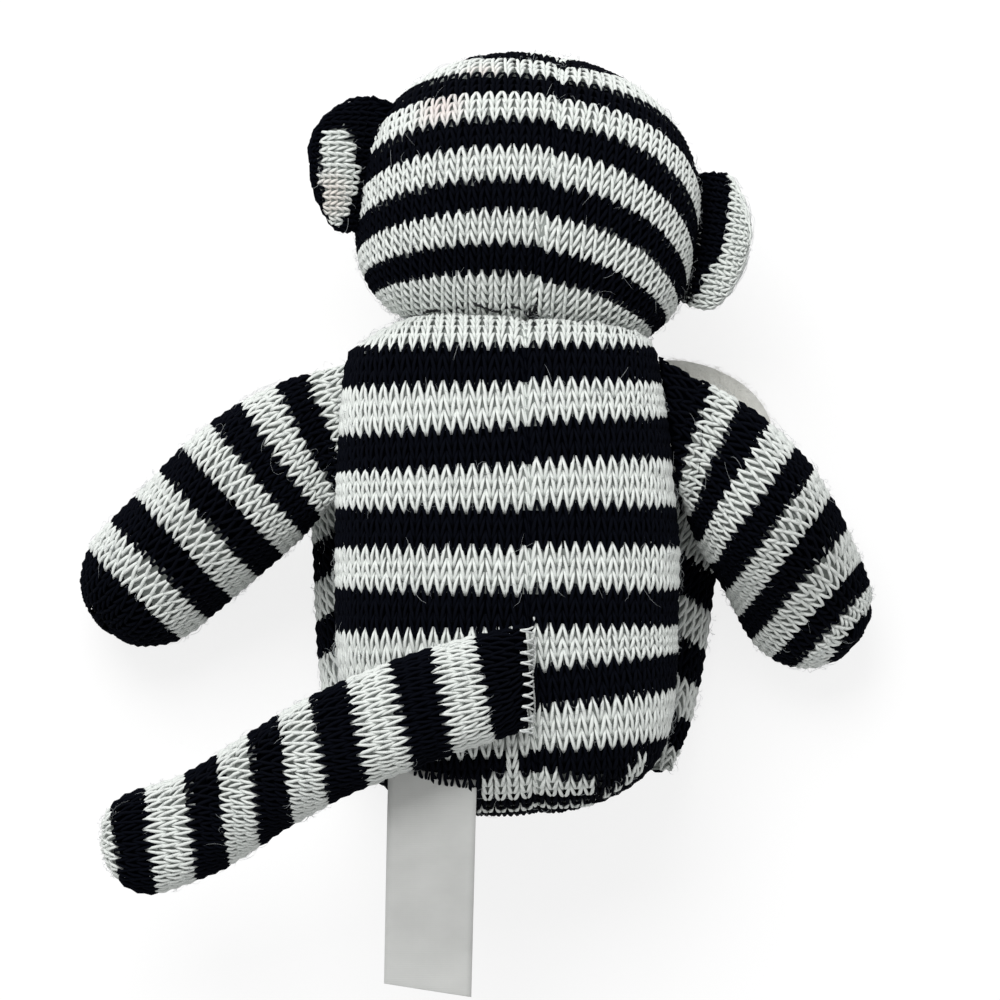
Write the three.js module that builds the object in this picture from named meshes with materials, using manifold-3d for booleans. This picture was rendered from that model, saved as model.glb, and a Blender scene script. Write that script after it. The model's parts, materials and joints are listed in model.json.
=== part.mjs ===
// A sock monkey doll in striped jersey knit, lying face down. The crown points along +Y, the back
// faces up along +Z, the legs are folded flat under the belly, and the doll rests on z = 0.
// All lengths are in millimetres.
import * as THREE from 'three';
import { mergeVertices } from 'three/addons/utils/BufferGeometryUtils.js';
import Module from 'manifold-3d';

const wasm = await Module();
wasm.setup();
const degree = Math.PI / 180;

// Fabric and seams
const fabric_wall = 1.5;
const seam_gap = 0.3;
const root_radius = 3; // of the rolled edge along which a limb is sewn on
const seam_probe = 4; // length over which a seam's direction is taken
const stuffing_gap = 7; // left open in a limb's root
const table_press = 0.5; // how deep the stuffing is pressed flat where it meets the table
const cutter_size = 300; // overrun of every straight cut

// Torso: the shares run from the base up to the shoulders
const torso_length = 101.8;
const torso_width = 70;
const torso_depth = 52;
const torso_lift = 44; // height of its middle line above the table
const torso_base_y = -58.4;
const torso_base_round = 18;
const torso_shoulder_round = 12;
const torso_width_shares = [0.84, 0.98, 1, 1, 0.985, 0.93, 0.86];
const torso_depth_shares = [0.84, 0.95, 1, 1, 0.98, 0.92, 0.84];
const torso_sway_shares = [0.03, 0.02, 0, 0, 0, -0.01, -0.01];
const torso_base_fullness = 2.6; // how square the ends, the sides and the shoulders are
const torso_shoulder_fullness = [3, 2.6];
const torso_squareness = 2.7;

// Head: round at the crown, broad and flat where it sits on the shoulders
const head_width = 69;
const head_height = 59;
const head_depth = 55;
const head_x = 3.8;
const head_y = 65.3;
const head_lift = 39.5;
const head_tilt = 8 * degree;
const head_opening = 11; // radius of the neck opening
const head_chin_fullness = [3.3, 2.2];
const head_crown_fullness = 2.1;
const head_squareness = 2.15;
const socket_depth_share = 1.04; // of the head's height
const socket_fullness = [3.5, 2.2];
const socket_squareness = 2.9;

// Neck thread: a ring that gathers the two neck openings
const neck_ring_radius = 9;
const neck_thread_radius = 0.8;

// Face: a fleece muzzle with a stitched mouth and nostrils, and two domed eyes locked by washers
const muzzle_width = 38;
const muzzle_height = 26;
const muzzle_drop = 9.5; // from the head's centre towards the chin
const muzzle_round = 9;
const muzzle_dome_shares = [1, 0.72, 0.48, 0.28, 0.12, 0.03];
const mouth_width = 20;
const mouth_smile = 2.4;
const mouth_drop = 2.5; // below the muzzle's centre
const nostril_length = 2.6;
const nostril_spacing = 6;
const nostril_rise = 4.5;
const stitch_radius = 0.5;
const eye_diameter = 9;
const eye_height = 3.2;
const eye_dome_shares = [0.35, 0.65, 0.85];
const eye_shank_radius = 1.5;
const eye_shank_length = 7;
const eye_spacing = 18;
const eye_rise = 7;
const eye_sink = 1.2; // how far the eye presses into the face
const eye_tilt = 14 * degree;
const washer_radius = 4.2;
const washer_thickness = 1.2;

// Ears: cupped discs, pinched thin where they are sewn to the head
const ear_reach = 12.5;
const ear_length = 28;
const ear_thickness = 5;
const ear_root_radius = 0.9;
const ear_swell = 4;
const ear_round = 8;
const ear_width_shares = [0.8, 0.95, 1, 1, 0.98];
const left_ear = { up: 2, lift: 8, steps: [[0.5, 178, -30], [0.5, 184, -38]] };
const right_ear = { up: -3, lift: 0, steps: [[0.5, -12, -40], [0.5, -14, -46]] };

// Arms: each step is its share of the length, its heading in the table's plane and its dip
const arm_length = 68;
const arm_thickness = 28.8;
const arm_swell = 17;
const arm_width_shares = [0.94, 0.99, 1.01, 1.01, 1, 0.96, 0.9];
const arm_tip_round = 15;
const left_arm = { y: 17, lift: 41.5, steps: [[0.25, 211, 26], [0.4, 222, 33], [0.35, 225, 27]] };
const right_arm = { y: 15, lift: 42, steps: [[0.28, -45, 26], [0.37, -61, 42], [0.28, -71, 36]] };

// Legs: they leave the front of the base, fold under the belly and end in fleece feet
const leg_length = 85.5;
const leg_width = 31;
const leg_depth = 18.4;
const leg_swell = 15;
const leg_width_shares = [0.84, 0.95, 1, 1, 1, 0.98, 0.94];
const leg_toe_round = 13;
const hip_gap = 1.2; // slack of the leg's seam, so that the leg can unfold
const foot_share = 0.7; // where the knit ends and the fleece foot begins
const leg_drop_shares = [0.1, 0.2]; // of the leg's length, in which it comes down to lie on the table
const leg_rest_shares = [0.35, 0.35];
const left_leg = { x: -19.4, y: -49, headings: [104, 98, 93, 96] };
const right_leg = { x: 19.4, y: -48, headings: [85, 81, 80, 66] };

// Tail: its end is whip-stitched to the back, the rest droops over the left side
const tail_length = 98;
const tail_width = 21.5;
const tail_depth = 16.5;
const tail_swell = 12;
const tail_tip_round = 10;
const tail_width_shares = [0.98, 0.99, 1, 1, 1, 1.02, 1];
const tail_seam_share = 0.9; // of the tail's width
const tail_x = 0.8;
const tail_y = -30.6;
const tail_steps = [[0.2, 195, -8], [0.2, 201, 8], [0.2, 210, 34], [0.2, 212, 34], [0.2, 199, 14]];
const whip_stitches = 9;
const whip_stitch_length = 1.8;

// Label: a folded satin ribbon, sewn into the base seam
const label_width = 17.6;
const label_length = 48;
const label_thickness = 0.6;
const label_x = -15.6;
const label_y = -50.5;
const label_dips = [14, 22, 26, 28, 22];
const label_heading = -1.5 * degree;

// From the torso's middle to the middle of the doll's outline
const origin_shift_x = 6.7;
const origin_shift_y = 0;

// Finishes
const striped_knit = { color: 0x8b8f8c, roughness: 0.95, metalness: 0 };
const cream_fleece = { color: 0xd6d6cc, roughness: 1, metalness: 0 };
const satin = { color: 0xe6e8e6, roughness: 0.45, metalness: 0 };
const black_plastic = { color: 0x08080a, roughness: 0.15, metalness: 0 };
const washer_plastic = { color: 0xdcdcd4, roughness: 0.5, metalness: 0 };
const black_thread = { color: 0x0c0d12, roughness: 0.8, metalness: 0 };
const white_thread = { color: 0xd8dbd8, roughness: 0.8, metalness: 0 };
const fibre_fill = { color: 0xf2f2ee, roughness: 1, metalness: 0 };

const vertical = new THREE.Vector3(0, 0, 1);
const down = new THREE.Vector3(0, 0, -1);

// How far a domed end has filled out at a distance from its pole
function domeShare(distance, reach, fullness) {
  if (distance >= reach) return 1;
  return (1 - (1 - distance / reach) ** fullness) ** (1 / fullness);
}

// A closed skin over rings of points that follow each other, from a first pole to a last one
function skinOver(first, rings, last) {
  const sides = rings[0].length;
  const end = rings.length * sides + 1;
  const index = [];
  for (let k = 0; k < sides; k++) {
    const next = (k + 1) % sides;
    index.push(0, 1 + k, 1 + next);
    for (let ring = 0; ring < rings.length - 1; ring++) {
      const [a, b] = [1 + ring * sides, 1 + (ring + 1) * sides];
      index.push(a + k, b + k, a + next, a + next, b + k, b + next);
    }
    index.push(end, end - sides + next, end - sides + k);
  }
  const skin = new THREE.BufferGeometry().setFromPoints([first, ...rings.flat(), last]);
  skin.setIndex(index);
  return skin;
}

// Where the rings of a form with a dome at each end lie along its middle line
function ringPlaces(length, start, end, domeRings, bodyRings) {
  const places = [];
  const rise = (i) => 1 - Math.cos(i / domeRings * Math.PI / 2);
  for (let i = 1; i <= domeRings; i++) places.push(start * rise(i));
  const body = length - start - end;
  for (let i = 1; i < bodyRings; i++) places.push(start + body * i / bodyRings);
  for (let i = body > 0 ? domeRings : domeRings - 1; i >= 1; i--) places.push(length - end * rise(i));
  return places;
}

// A stuffed form: superellipse rings along a middle line between two poles. half gives the two half
// sizes at a place of the whole length; seam, if there is one, is the direction the first rings keep.
function stuffedForm({ line, places, ends, half, squareness, sides, seam, seamReach = 1 }) {
  const length = line.getLength();
  const rings = places.map((place) => {
    const centre = line.getPointAt(place / length);
    const along = line.getTangentAt(place / length);
    const across = along.clone().cross(vertical).normalize();
    if (seam) {
      const same_way = seam.clone().multiplyScalar(Math.sign(seam.dot(across)));
      across.lerp(same_way, Math.max(0, 1 - place / seamReach)).normalize();
    }
    const over = across.clone().cross(along).normalize();
    const [wide, deep] = half(place, length);
    return Array.from({ length: sides }, (_, k) => {
      const [c, s] = [Math.cos(2 * Math.PI * k / sides), Math.sin(2 * Math.PI * k / sides)];
      return centre.clone()
        .addScaledVector(across, wide * Math.sign(c) * Math.abs(c) ** (2 / squareness))
        .addScaledVector(over, deep * Math.sign(s) * Math.abs(s) ** (2 / squareness));
    });
  });
  const [first, last] = (ends ?? [0, length]).map((place) => line.getPointAt(place / length));
  return skinOver(first, rings, last);
}

// The value between evenly spaced shares
function shareAt(shares, position) {
  const curve = new THREE.SplineCurve(shares.map((share, i) => new THREE.Vector2(i, share)));
  return curve.getPoint(Math.min(1, Math.max(0, position))).y;
}

// A form grown or shrunk by moving its surface along its normals
function swollen(form, distance) {
  const copy = form.clone();
  copy.computeVertexNormals();
  const { position, normal } = copy.attributes;
  for (let i = 0; i < position.count; i++) {
    position.setXYZ(i, position.getX(i) + normal.getX(i) * distance,
      position.getY(i) + normal.getY(i) * distance, position.getZ(i) + normal.getZ(i) * distance);
  }
  return copy;
}

function solidOf(geometry) {
  const bare = geometry.clone();
  bare.deleteAttribute('normal');
  bare.deleteAttribute('uv');
  const closed = mergeVertices(bare, 1e-4);
  return new wasm.Manifold(new wasm.Mesh({
    numProp: 3,
    vertProperties: new Float32Array(closed.attributes.position.array),
    triVerts: new Uint32Array(closed.index.array),
  }));
}

function geometryOf(solid) {
  const mesh = solid.getMesh();
  const geometry = new THREE.BufferGeometry();
  geometry.setAttribute('position', new THREE.BufferAttribute(new Float32Array(mesh.vertProperties), 3));
  geometry.setIndex(new THREE.BufferAttribute(new Uint32Array(mesh.triVerts), 1));
  return geometry;
}

// The half space on one side of a plane, as a large box
function halfSpace(point, normal) {
  const box = new THREE.BoxGeometry(cutter_size, cutter_size, cutter_size);
  box.translate(0, 0, cutter_size / 2);
  box.applyQuaternion(new THREE.Quaternion().setFromUnitVectors(vertical, normal));
  return solidOf(box.translate(point.x, point.y, point.z));
}

// A thread along a few points
function threadSolid(points, radius) {
  const section = new THREE.Shape();
  section.absarc(0, 0, radius, 0, 2 * Math.PI);
  return solidOf(new THREE.ExtrudeGeometry(section, {
    steps: 2 * (points.length - 1), curveSegments: 3, extrudePath: new THREE.CatmullRomCurve3(points),
  }));
}

// The point where a ray from outside meets a form
function surfacePoint(form, from, direction) {
  const ray = new THREE.Raycaster(from, direction);
  return ray.intersectObject(new THREE.Mesh(form, new THREE.MeshBasicMaterial()))[0].point;
}

// A seam on a form: its middle and its direction, held off the surface by a clearance
function seamOn(form, middle, direction, inward, clearance) {
  const far = inward.clone().multiplyScalar(-cutter_size / 2);
  const [a, b] = [-seam_probe / 2, seam_probe / 2].map((place) => surfacePoint(form,
    middle.clone().addScaledVector(direction, place).add(far), inward).addScaledVector(inward, -clearance));
  const centre = surfacePoint(form, middle.clone().add(far), inward).addScaledVector(inward, -clearance);
  return { centre, along: b.sub(a).normalize() };
}

// A middle line laid out step by step from a start, each step with a heading and a dip
function layOut(start, length, steps) {
  const points = [start.clone()];
  for (const [share, heading, dip] of steps) {
    const flat = share * length * Math.cos(dip * degree);
    points.push(points.at(-1).clone().add(new THREE.Vector3(flat * Math.cos(heading * degree),
      flat * Math.sin(heading * degree), -share * length * Math.sin(dip * degree))));
  }
  return new THREE.CatmullRomCurve3(points, false, 'centripetal');
}

// A limb: a rolled edge about its seam, from which it swells like a pillow's edge to its full depth,
// and a domed tip. The form can be asked for at an inset from its skin.
function makeLimb({ seam, length, steps, width, depth, shares, swell, tip, root = root_radius, sides, rings }) {
  const [, toward] = layOut(seam.centre, length, steps).points;
  const start = seam.centre.clone().add(seam.centre.clone().sub(toward).setLength(root));
  const line = layOut(start, length + root, steps);
  const whole = line.getLength();
  const form = (inset) => {
    const edge = root - inset;
    const half = (place) => {
      const past_root = place - root;
      const swollen_depth = past_root < 0 ? Math.sqrt(edge ** 2 - past_root ** 2)
        : edge + (depth / 2 - root) * domeShare(past_root, swell, 1.5);
      const closing = domeShare(whole - inset - place, tip - inset, 2.2);
      return [(width / 2 * shareAt(shares, place / whole) - inset) * closing, swollen_depth * closing];
    };
    const body = whole - root - swell - tip;
    const places = [
      ...[0.1, 0.45, 1].map((share) => inset + share * edge),
      ...[0.3, 0.62].map((share) => root + share * swell),
      ...Array.from({ length: rings }, (_, i) => root + swell + body * i / rings),
      ...[1, 0.62, 0.32, 0.12, 0.02].map((share) => whole - inset - (tip - inset) * share),
    ];
    return stuffedForm({
      line, places, ends: [inset, whole - inset], half, squareness: 2.1, sides, seam: seam.along,
      seamReach: 2 * swell,
    });
  };
  return { line, form };
}

const doll = new THREE.Group();

// A joint's group stands at its joint, with one of its own axes along the joint's
function jointGroup(point, own_axis, along) {
  const group = new THREE.Group();
  group.position.copy(point);
  group.quaternion.setFromUnitVectors(own_axis, along);
  doll.add(group);
  group.updateMatrix();
  return group;
}

// Pieces are shaped in the doll's place and then measured from their joint
function addPiece(group, name, solid, finish) {
  const geometry = geometryOf(solid).applyMatrix4(group.matrix.clone().invert());
  geometry.computeVertexNormals();
  const mesh = new THREE.Mesh(geometry, new THREE.MeshStandardMaterial(finish));
  mesh.name = name;
  group.add(mesh);
}

const own_x = new THREE.Vector3(1, 0, 0);
const own_y = new THREE.Vector3(0, 1, 0);
const above_table = halfSpace(new THREE.Vector3(), vertical);

// Torso form
const torso_line = new THREE.CatmullRomCurve3(torso_sway_shares.map((sway, i) => new THREE.Vector3(
  sway * torso_width, torso_base_y + torso_length * i / (torso_sway_shares.length - 1), torso_lift)));
const torso_form = stuffedForm({
  line: torso_line,
  places: ringPlaces(torso_line.getLength(), torso_base_round, torso_shoulder_round, 4, 6),
  half: (place, whole) => [[torso_width, torso_width_shares], [torso_depth, torso_depth_shares]]
    .map(([size, shares], i) => size / 2 * shareAt(shares, place / whole)
      * domeShare(place, torso_base_round, torso_base_fullness)
      * domeShare(whole - place, torso_shoulder_round, torso_shoulder_fullness[i])),
  squareness: torso_squareness, sides: 22,
});
const torso_clear = solidOf(swollen(torso_form, seam_gap));

// Head form, on an axis that leans with the head
const head_centre = new THREE.Vector3(head_x, head_y, head_lift);
const head_up = new THREE.Vector3(Math.sin(head_tilt), Math.cos(head_tilt), 0);
const head_side = new THREE.Vector3(Math.cos(head_tilt), -Math.sin(head_tilt), 0);
const head_line = new THREE.LineCurve3(head_centre.clone().addScaledVector(head_up, -head_height / 2),
  head_centre.clone().addScaledVector(head_up, head_height / 2));
function headShape(depth, chin_fullness, squareness) {
  return stuffedForm({
    line: head_line,
    places: ringPlaces(head_height, head_height / 2, head_height / 2, 7, 1),
    half: (place) => [[head_width, chin_fullness[0]], [depth, chin_fullness[1]]].map(([size, fullness]) => size / 2
      * domeShare(place, head_height / 2, fullness)
      * domeShare(head_height - place, head_height / 2, head_crown_fullness)),
    squareness, sides: 22,
  });
}
const head_form = headShape(head_depth, head_chin_fullness, head_squareness);

// The socket that the shoulders form under the head: the head's shape, widened to the circle and the
// squarer plan that it sweeps while it nods and turns
const socket = solidOf(swollen(
  headShape(socket_depth_share * head_height, socket_fullness, socket_squareness), seam_gap));

// Neck thread: a ring about the head's axis, just under the head
const ring_centre = head_centre.clone()
  .addScaledVector(head_up, -(head_height / 2 + seam_gap + neck_thread_radius));
function neckRing(thickness, raised = 0) {
  const ring = new THREE.TorusGeometry(neck_ring_radius, thickness, 6, 20);
  ring.applyQuaternion(new THREE.Quaternion().setFromUnitVectors(vertical, head_up));
  const place = ring_centre.clone().addScaledVector(head_up, raised);
  return solidOf(ring.translate(place.x, place.y, place.z));
}
const neck_group = jointGroup(head_centre, own_y, head_up);
addPiece(neck_group, 'neck_thread', neckRing(neck_thread_radius), black_thread);

// Torso: a cover that is open at the neck, and its filling
const torso_group = jointGroup(new THREE.Vector3(0, 0, torso_lift), own_y, own_y);
addPiece(torso_group, 'torso_cover',
  solidOf(torso_form).subtract(solidOf(swollen(torso_form, -fabric_wall))).subtract(socket), striped_knit);
const ring_room = neck_thread_radius + seam_gap;
addPiece(torso_group, 'torso_filling', solidOf(swollen(torso_form, -fabric_wall - seam_gap))
  .subtract(socket).subtract(neckRing(ring_room)).subtract(neckRing(ring_room, ring_room)), fibre_fill);

// Head: its pieces are set out from its centre, across, up and out of the face
const head_group = jointGroup(head_centre, own_x, head_side);
function onHead(across, up, out) {
  return head_centre.clone().addScaledVector(head_side, across).addScaledVector(head_up, up)
    .addScaledVector(down, out);
}
const face_depth = head_depth / 2;

// Muzzle: an oval pad from the head's face down to the table
const muzzle_back = face_depth - muzzle_round;
const muzzle_front = head_lift + table_press;
function muzzleRing(out) {
  const sides = 24;
  const share = domeShare(muzzle_front - out, muzzle_round, 2.4);
  return Array.from({ length: sides }, (_, k) => onHead(
    muzzle_width / 2 * share * Math.cos(2 * Math.PI * k / sides),
    muzzle_height / 2 * share * Math.sin(2 * Math.PI * k / sides) - muzzle_drop, out));
}
const muzzle_form = skinOver(onHead(0, -muzzle_drop, muzzle_back),
  [muzzle_back, ...muzzle_dome_shares.map((share) => muzzle_front - muzzle_round * share)].map(muzzleRing),
  onHead(0, -muzzle_drop, muzzle_front));

// Mouth and nostrils: stitches that lie in a groove of the muzzle
const stitch_depth = head_lift - stitch_radius - seam_gap;
const stitches = {
  mouth_stitch: [-1, -0.5, 0, 0.5, 1].map((share) => onHead(share * mouth_width / 2,
    -muzzle_drop - mouth_drop - mouth_smile * (1 - share * share), stitch_depth)),
};
for (const [name, side] of [['left', -1], ['right', 1]]) {
  stitches[`${name}_nostril_stitch`] = [-1, 0, 1].map((share) => onHead(side * nostril_spacing / 2,
    -muzzle_drop + nostril_rise + share * nostril_length / 2, stitch_depth));
}
let muzzle = solidOf(muzzle_form).subtract(solidOf(swollen(head_form, seam_gap))).intersect(above_table);
for (const [name, points] of Object.entries(stitches)) {
  const [before, after] = [[0, 1], [-1, -2]].map(([end, beside]) => points.at(end).clone()
    .add(points.at(end).clone().sub(points.at(beside)).setLength(seam_gap)));
  const route = [before, ...points.slice(1, -1), after];
  const lower = route.map((point) => point.clone().addScaledVector(down, stitch_radius + seam_gap));
  for (const groove of [route, lower]) muzzle = muzzle.subtract(threadSolid(groove, stitch_radius + seam_gap));
  addPiece(head_group, name, threadSolid(points, stitch_radius), black_thread);
}
addPiece(head_group, 'muzzle', muzzle, cream_fleece);

// Eyes: a dome on a shank that goes through the head cover, held by a washer inside. A profile is
// drawn as radius and height above the eye's flat back.
const washer_top = eye_sink - fabric_wall - 2 * seam_gap;
function eyeTurned(profile, side) {
  const solid = new THREE.LatheGeometry(profile.map(([radius, height]) => new THREE.Vector2(radius, height)), 16);
  const outward = new THREE.Vector3(side * Math.sin(eye_tilt), Math.sin(eye_tilt) / 2, -Math.cos(eye_tilt));
  solid.applyQuaternion(new THREE.Quaternion().setFromUnitVectors(own_y, outward.normalize()));
  const above = onHead(side * eye_spacing / 2, eye_rise, head_depth);
  const seat = surfacePoint(head_form, above, vertical).addScaledVector(outward, -eye_sink);
  return solidOf(solid.translate(seat.x, seat.y, seat.z));
}
function eyeProfile(extra) {
  const radius = eye_diameter / 2 + extra;
  const shank = eye_shank_radius + extra;
  const dome = eye_dome_shares.map((share) => [radius * Math.cos(share * Math.PI / 2),
    (eye_height + extra) * Math.sin(share * Math.PI / 2)]);
  return [[0, -eye_shank_length - extra], [shank, -eye_shank_length - extra], [shank, -extra],
    [radius, -extra], [radius, 0], ...dome, [0, eye_height + extra]];
}
function washerProfile(extra) {
  const inner = eye_shank_radius + seam_gap - extra;
  const outer = washer_radius + extra;
  const [top, foot] = [washer_top - seam_gap + extra, washer_top - seam_gap - washer_thickness - extra];
  return [[inner, foot], [outer, foot], [outer, top], [inner, top], [inner, foot]];
}
let head_cover = solidOf(head_form).subtract(solidOf(swollen(head_form, -fabric_wall)));
let head_filling = solidOf(swollen(head_form, -fabric_wall - seam_gap));
for (const [name, side] of [['left', -1], ['right', 1]]) {
  for (const room of [eyeTurned(eyeProfile(seam_gap), side), eyeTurned(washerProfile(seam_gap), side)]) {
    head_cover = head_cover.subtract(room);
    head_filling = head_filling.subtract(room);
  }
  addPiece(head_group, `${name}_eye`, eyeTurned(eyeProfile(0), side), black_plastic);
  addPiece(head_group, `${name}_eye_washer`, eyeTurned(washerProfile(0), side), washer_plastic);
}

// Neck opening of the head cover
const opening = new THREE.CylinderGeometry(head_opening, head_opening, head_height / 2, 20);
opening.applyQuaternion(new THREE.Quaternion().setFromUnitVectors(own_y, head_up));
const chin = onHead(0, -head_height / 2, 0);
opening.translate(chin.x, chin.y, chin.z);
addPiece(head_group, 'head_cover', head_cover.subtract(solidOf(opening)), striped_knit);
addPiece(head_group, 'head_filling', head_filling, fibre_fill);

// Ears: each folds about its sewn edge
for (const [name, side, ear] of [['left_ear', -1, left_ear], ['right_ear', 1, right_ear]]) {
  const inward = head_side.clone().multiplyScalar(-side);
  const seam = seamOn(head_form, onHead(0, ear.up, -ear.lift), head_up, inward,
    ear_root_radius + seam_gap);
  const { form } = makeLimb({
    seam, length: ear_reach, steps: ear.steps, width: ear_length, depth: ear_thickness, shares: ear_width_shares,
    swell: ear_swell, tip: ear_round, root: ear_root_radius, sides: 14, rings: 1,
  });
  addPiece(jointGroup(seam.centre, own_y, seam.along), name,
    solidOf(form(0)).subtract(solidOf(swollen(head_form, seam_gap))), striped_knit);
}

// A limb's cover has a wall of fabric and a gap in its root that it was stuffed through
function limbPieces(limb, seam, shaped) {
  const gap = new THREE.BoxGeometry(2 * root_radius, stuffing_gap, 2 * root_radius);
  gap.applyQuaternion(new THREE.Quaternion().setFromUnitVectors(own_y, seam.along));
  const place = limb.line.getPointAt(0);
  gap.translate(place.x, place.y, place.z);
  const cavity = solidOf(limb.form(fabric_wall));
  return {
    cover: shaped(solidOf(limb.form(0)).subtract(cavity)).subtract(solidOf(gap)),
    filling: shaped(solidOf(limb.form(fabric_wall + seam_gap))),
  };
}

// Arms: sewn into the side seams
for (const [name, side, arm] of [['left', -1, left_arm], ['right', 1, right_arm]]) {
  const inward = own_x.clone().multiplyScalar(-side);
  const seam = seamOn(torso_form, new THREE.Vector3(0, arm.y, arm.lift), own_y, inward,
    root_radius + seam_gap);
  const limb = makeLimb({
    seam, length: arm_length, steps: arm.steps, width: arm_thickness, depth: arm_thickness,
    shares: arm_width_shares, swell: arm_swell, tip: arm_tip_round, sides: 14, rings: 3,
  });
  const { cover, filling } = limbPieces(limb, seam, (solid) => solid.subtract(torso_clear).intersect(above_table));
  const group = jointGroup(seam.centre, own_y, seam.along);
  addPiece(group, `${name}_arm_cover`, cover, striped_knit);
  addPiece(group, `${name}_arm_filling`, filling, fibre_fill);
}

// Legs: knit covers to the ankle, fleece feet beyond it, one filling through both
for (const [name, leg] of [['left', left_leg], ['right', right_leg]]) {
  const seam = seamOn(torso_form, new THREE.Vector3(leg.x, leg.y, 0), own_x, vertical,
    root_radius + hip_gap);
  const drop = seam.centre.z - (leg_depth / 2 - table_press);
  const drop_length = (leg_length + root_radius) * leg_drop_shares.reduce((sum, share) => sum + share)
    - root_radius;
  const drop_dip = Math.asin(drop / drop_length) / degree;
  const steps = [...leg_drop_shares, ...leg_rest_shares].map((share, i) => [share, leg.headings[i],
    i < leg_drop_shares.length ? drop_dip : 0]);
  const limb = makeLimb({
    seam, length: leg_length, steps, width: leg_width, depth: leg_depth,
    shares: leg_width_shares, swell: leg_swell, tip: leg_toe_round, sides: 14, rings: 4,
  });
  const { cover, filling } = limbPieces(limb, seam, (solid) => solid.subtract(torso_clear).intersect(above_table));
  const ankle = limb.line.getPointAt(foot_share);
  const toward_toe = limb.line.getTangentAt(foot_share);
  const group = jointGroup(seam.centre, own_x, seam.along);
  addPiece(group, `${name}_leg_cover`, cover.subtract(
    halfSpace(ankle.clone().addScaledVector(toward_toe, -seam_gap / 2), toward_toe)), striped_knit);
  addPiece(group, `${name}_foot`, cover.intersect(
    halfSpace(ankle.clone().addScaledVector(toward_toe, seam_gap / 2), toward_toe)), cream_fleece);
  addPiece(group, `${name}_leg_filling`, filling, fibre_fill);
}

// Tail
const tail_seam = seamOn(torso_form, new THREE.Vector3(tail_x, tail_y, 0), own_y, down,
  root_radius + seam_gap);
const tail = makeLimb({
  seam: tail_seam, length: tail_length, steps: tail_steps, width: tail_width, depth: tail_depth,
  shares: tail_width_shares, swell: tail_swell, tip: tail_tip_round, sides: 12, rings: 7,
});
const tail_pieces = limbPieces(tail, tail_seam, (solid) => solid.subtract(torso_clear));
const tail_group = jointGroup(tail_seam.centre, own_y, tail_seam.along);
addPiece(tail_group, 'tail_cover', tail_pieces.cover, striped_knit);
addPiece(tail_group, 'tail_filling', tail_pieces.filling, fibre_fill);

// Tail seam thread: a whip stitch that zigzags beside the tail's end and lies on the back
const whip_points = [];
for (let i = 0; i <= 2 * whip_stitches; i++) {
  const place = new THREE.Vector3(tail_x + root_radius + stitch_radius + (i % 2) * whip_stitch_length,
    tail_y + tail_width * tail_seam_share * (i / (2 * whip_stitches) - 0.5), cutter_size / 2);
  whip_points.push(surfacePoint(torso_form, place, down).addScaledVector(down, -seam_gap - stitch_radius));
}
addPiece(torso_group, 'tail_seam_thread', threadSolid(whip_points, stitch_radius), white_thread);

// Label: a thin strip that follows its dips, drawn from the side and extruded across
const label_root = surfacePoint(torso_form, new THREE.Vector3(label_x, label_y, cutter_size / 2), down)
  .addScaledVector(down, -seam_gap - label_thickness);
const label_points = [new THREE.Vector2(0, 0)];
for (const dip of label_dips) {
  const step = label_length / label_dips.length;
  label_points.push(label_points.at(-1).clone()
    .add(new THREE.Vector2(step * Math.cos(dip * degree), -step * Math.sin(dip * degree))));
}
const label_side = new THREE.SplineCurve(label_points).getPoints(12);
const strip = new THREE.Shape([
  ...label_side, ...label_side.map((point) => new THREE.Vector2(point.x, point.y - label_thickness)).reverse()]);
const ribbon = new THREE.ExtrudeGeometry(strip, { depth: label_width, bevelEnabled: false, steps: 2 });
ribbon.translate(0, 0, -label_width / 2);
ribbon.applyMatrix4(new THREE.Matrix4().makeBasis(
  new THREE.Vector3(0, -1, 0), new THREE.Vector3(0, 0, 1), new THREE.Vector3(-1, 0, 0)));
ribbon.rotateZ(label_heading).translate(label_root.x, label_root.y, label_root.z);
const label_group = jointGroup(label_root, own_x,
  new THREE.Vector3(Math.cos(label_heading), Math.sin(label_heading), 0));
addPiece(label_group, 'label', solidOf(ribbon).subtract(torso_clear), satin);

// The doll's origin is under the middle of its outline
doll.position.set(origin_shift_x, origin_shift_y, 0);

export default doll;
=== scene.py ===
# A sock monkey doll in black and white striped jersey knit, lying face down and seen from above.
# The script follows the doll piece by piece: torso, head, arms, legs, tail, ears, muzzle, eyes,
# threads and label, and then the table, the light and the camera. Lengths are in metres.
import json
import math

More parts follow.
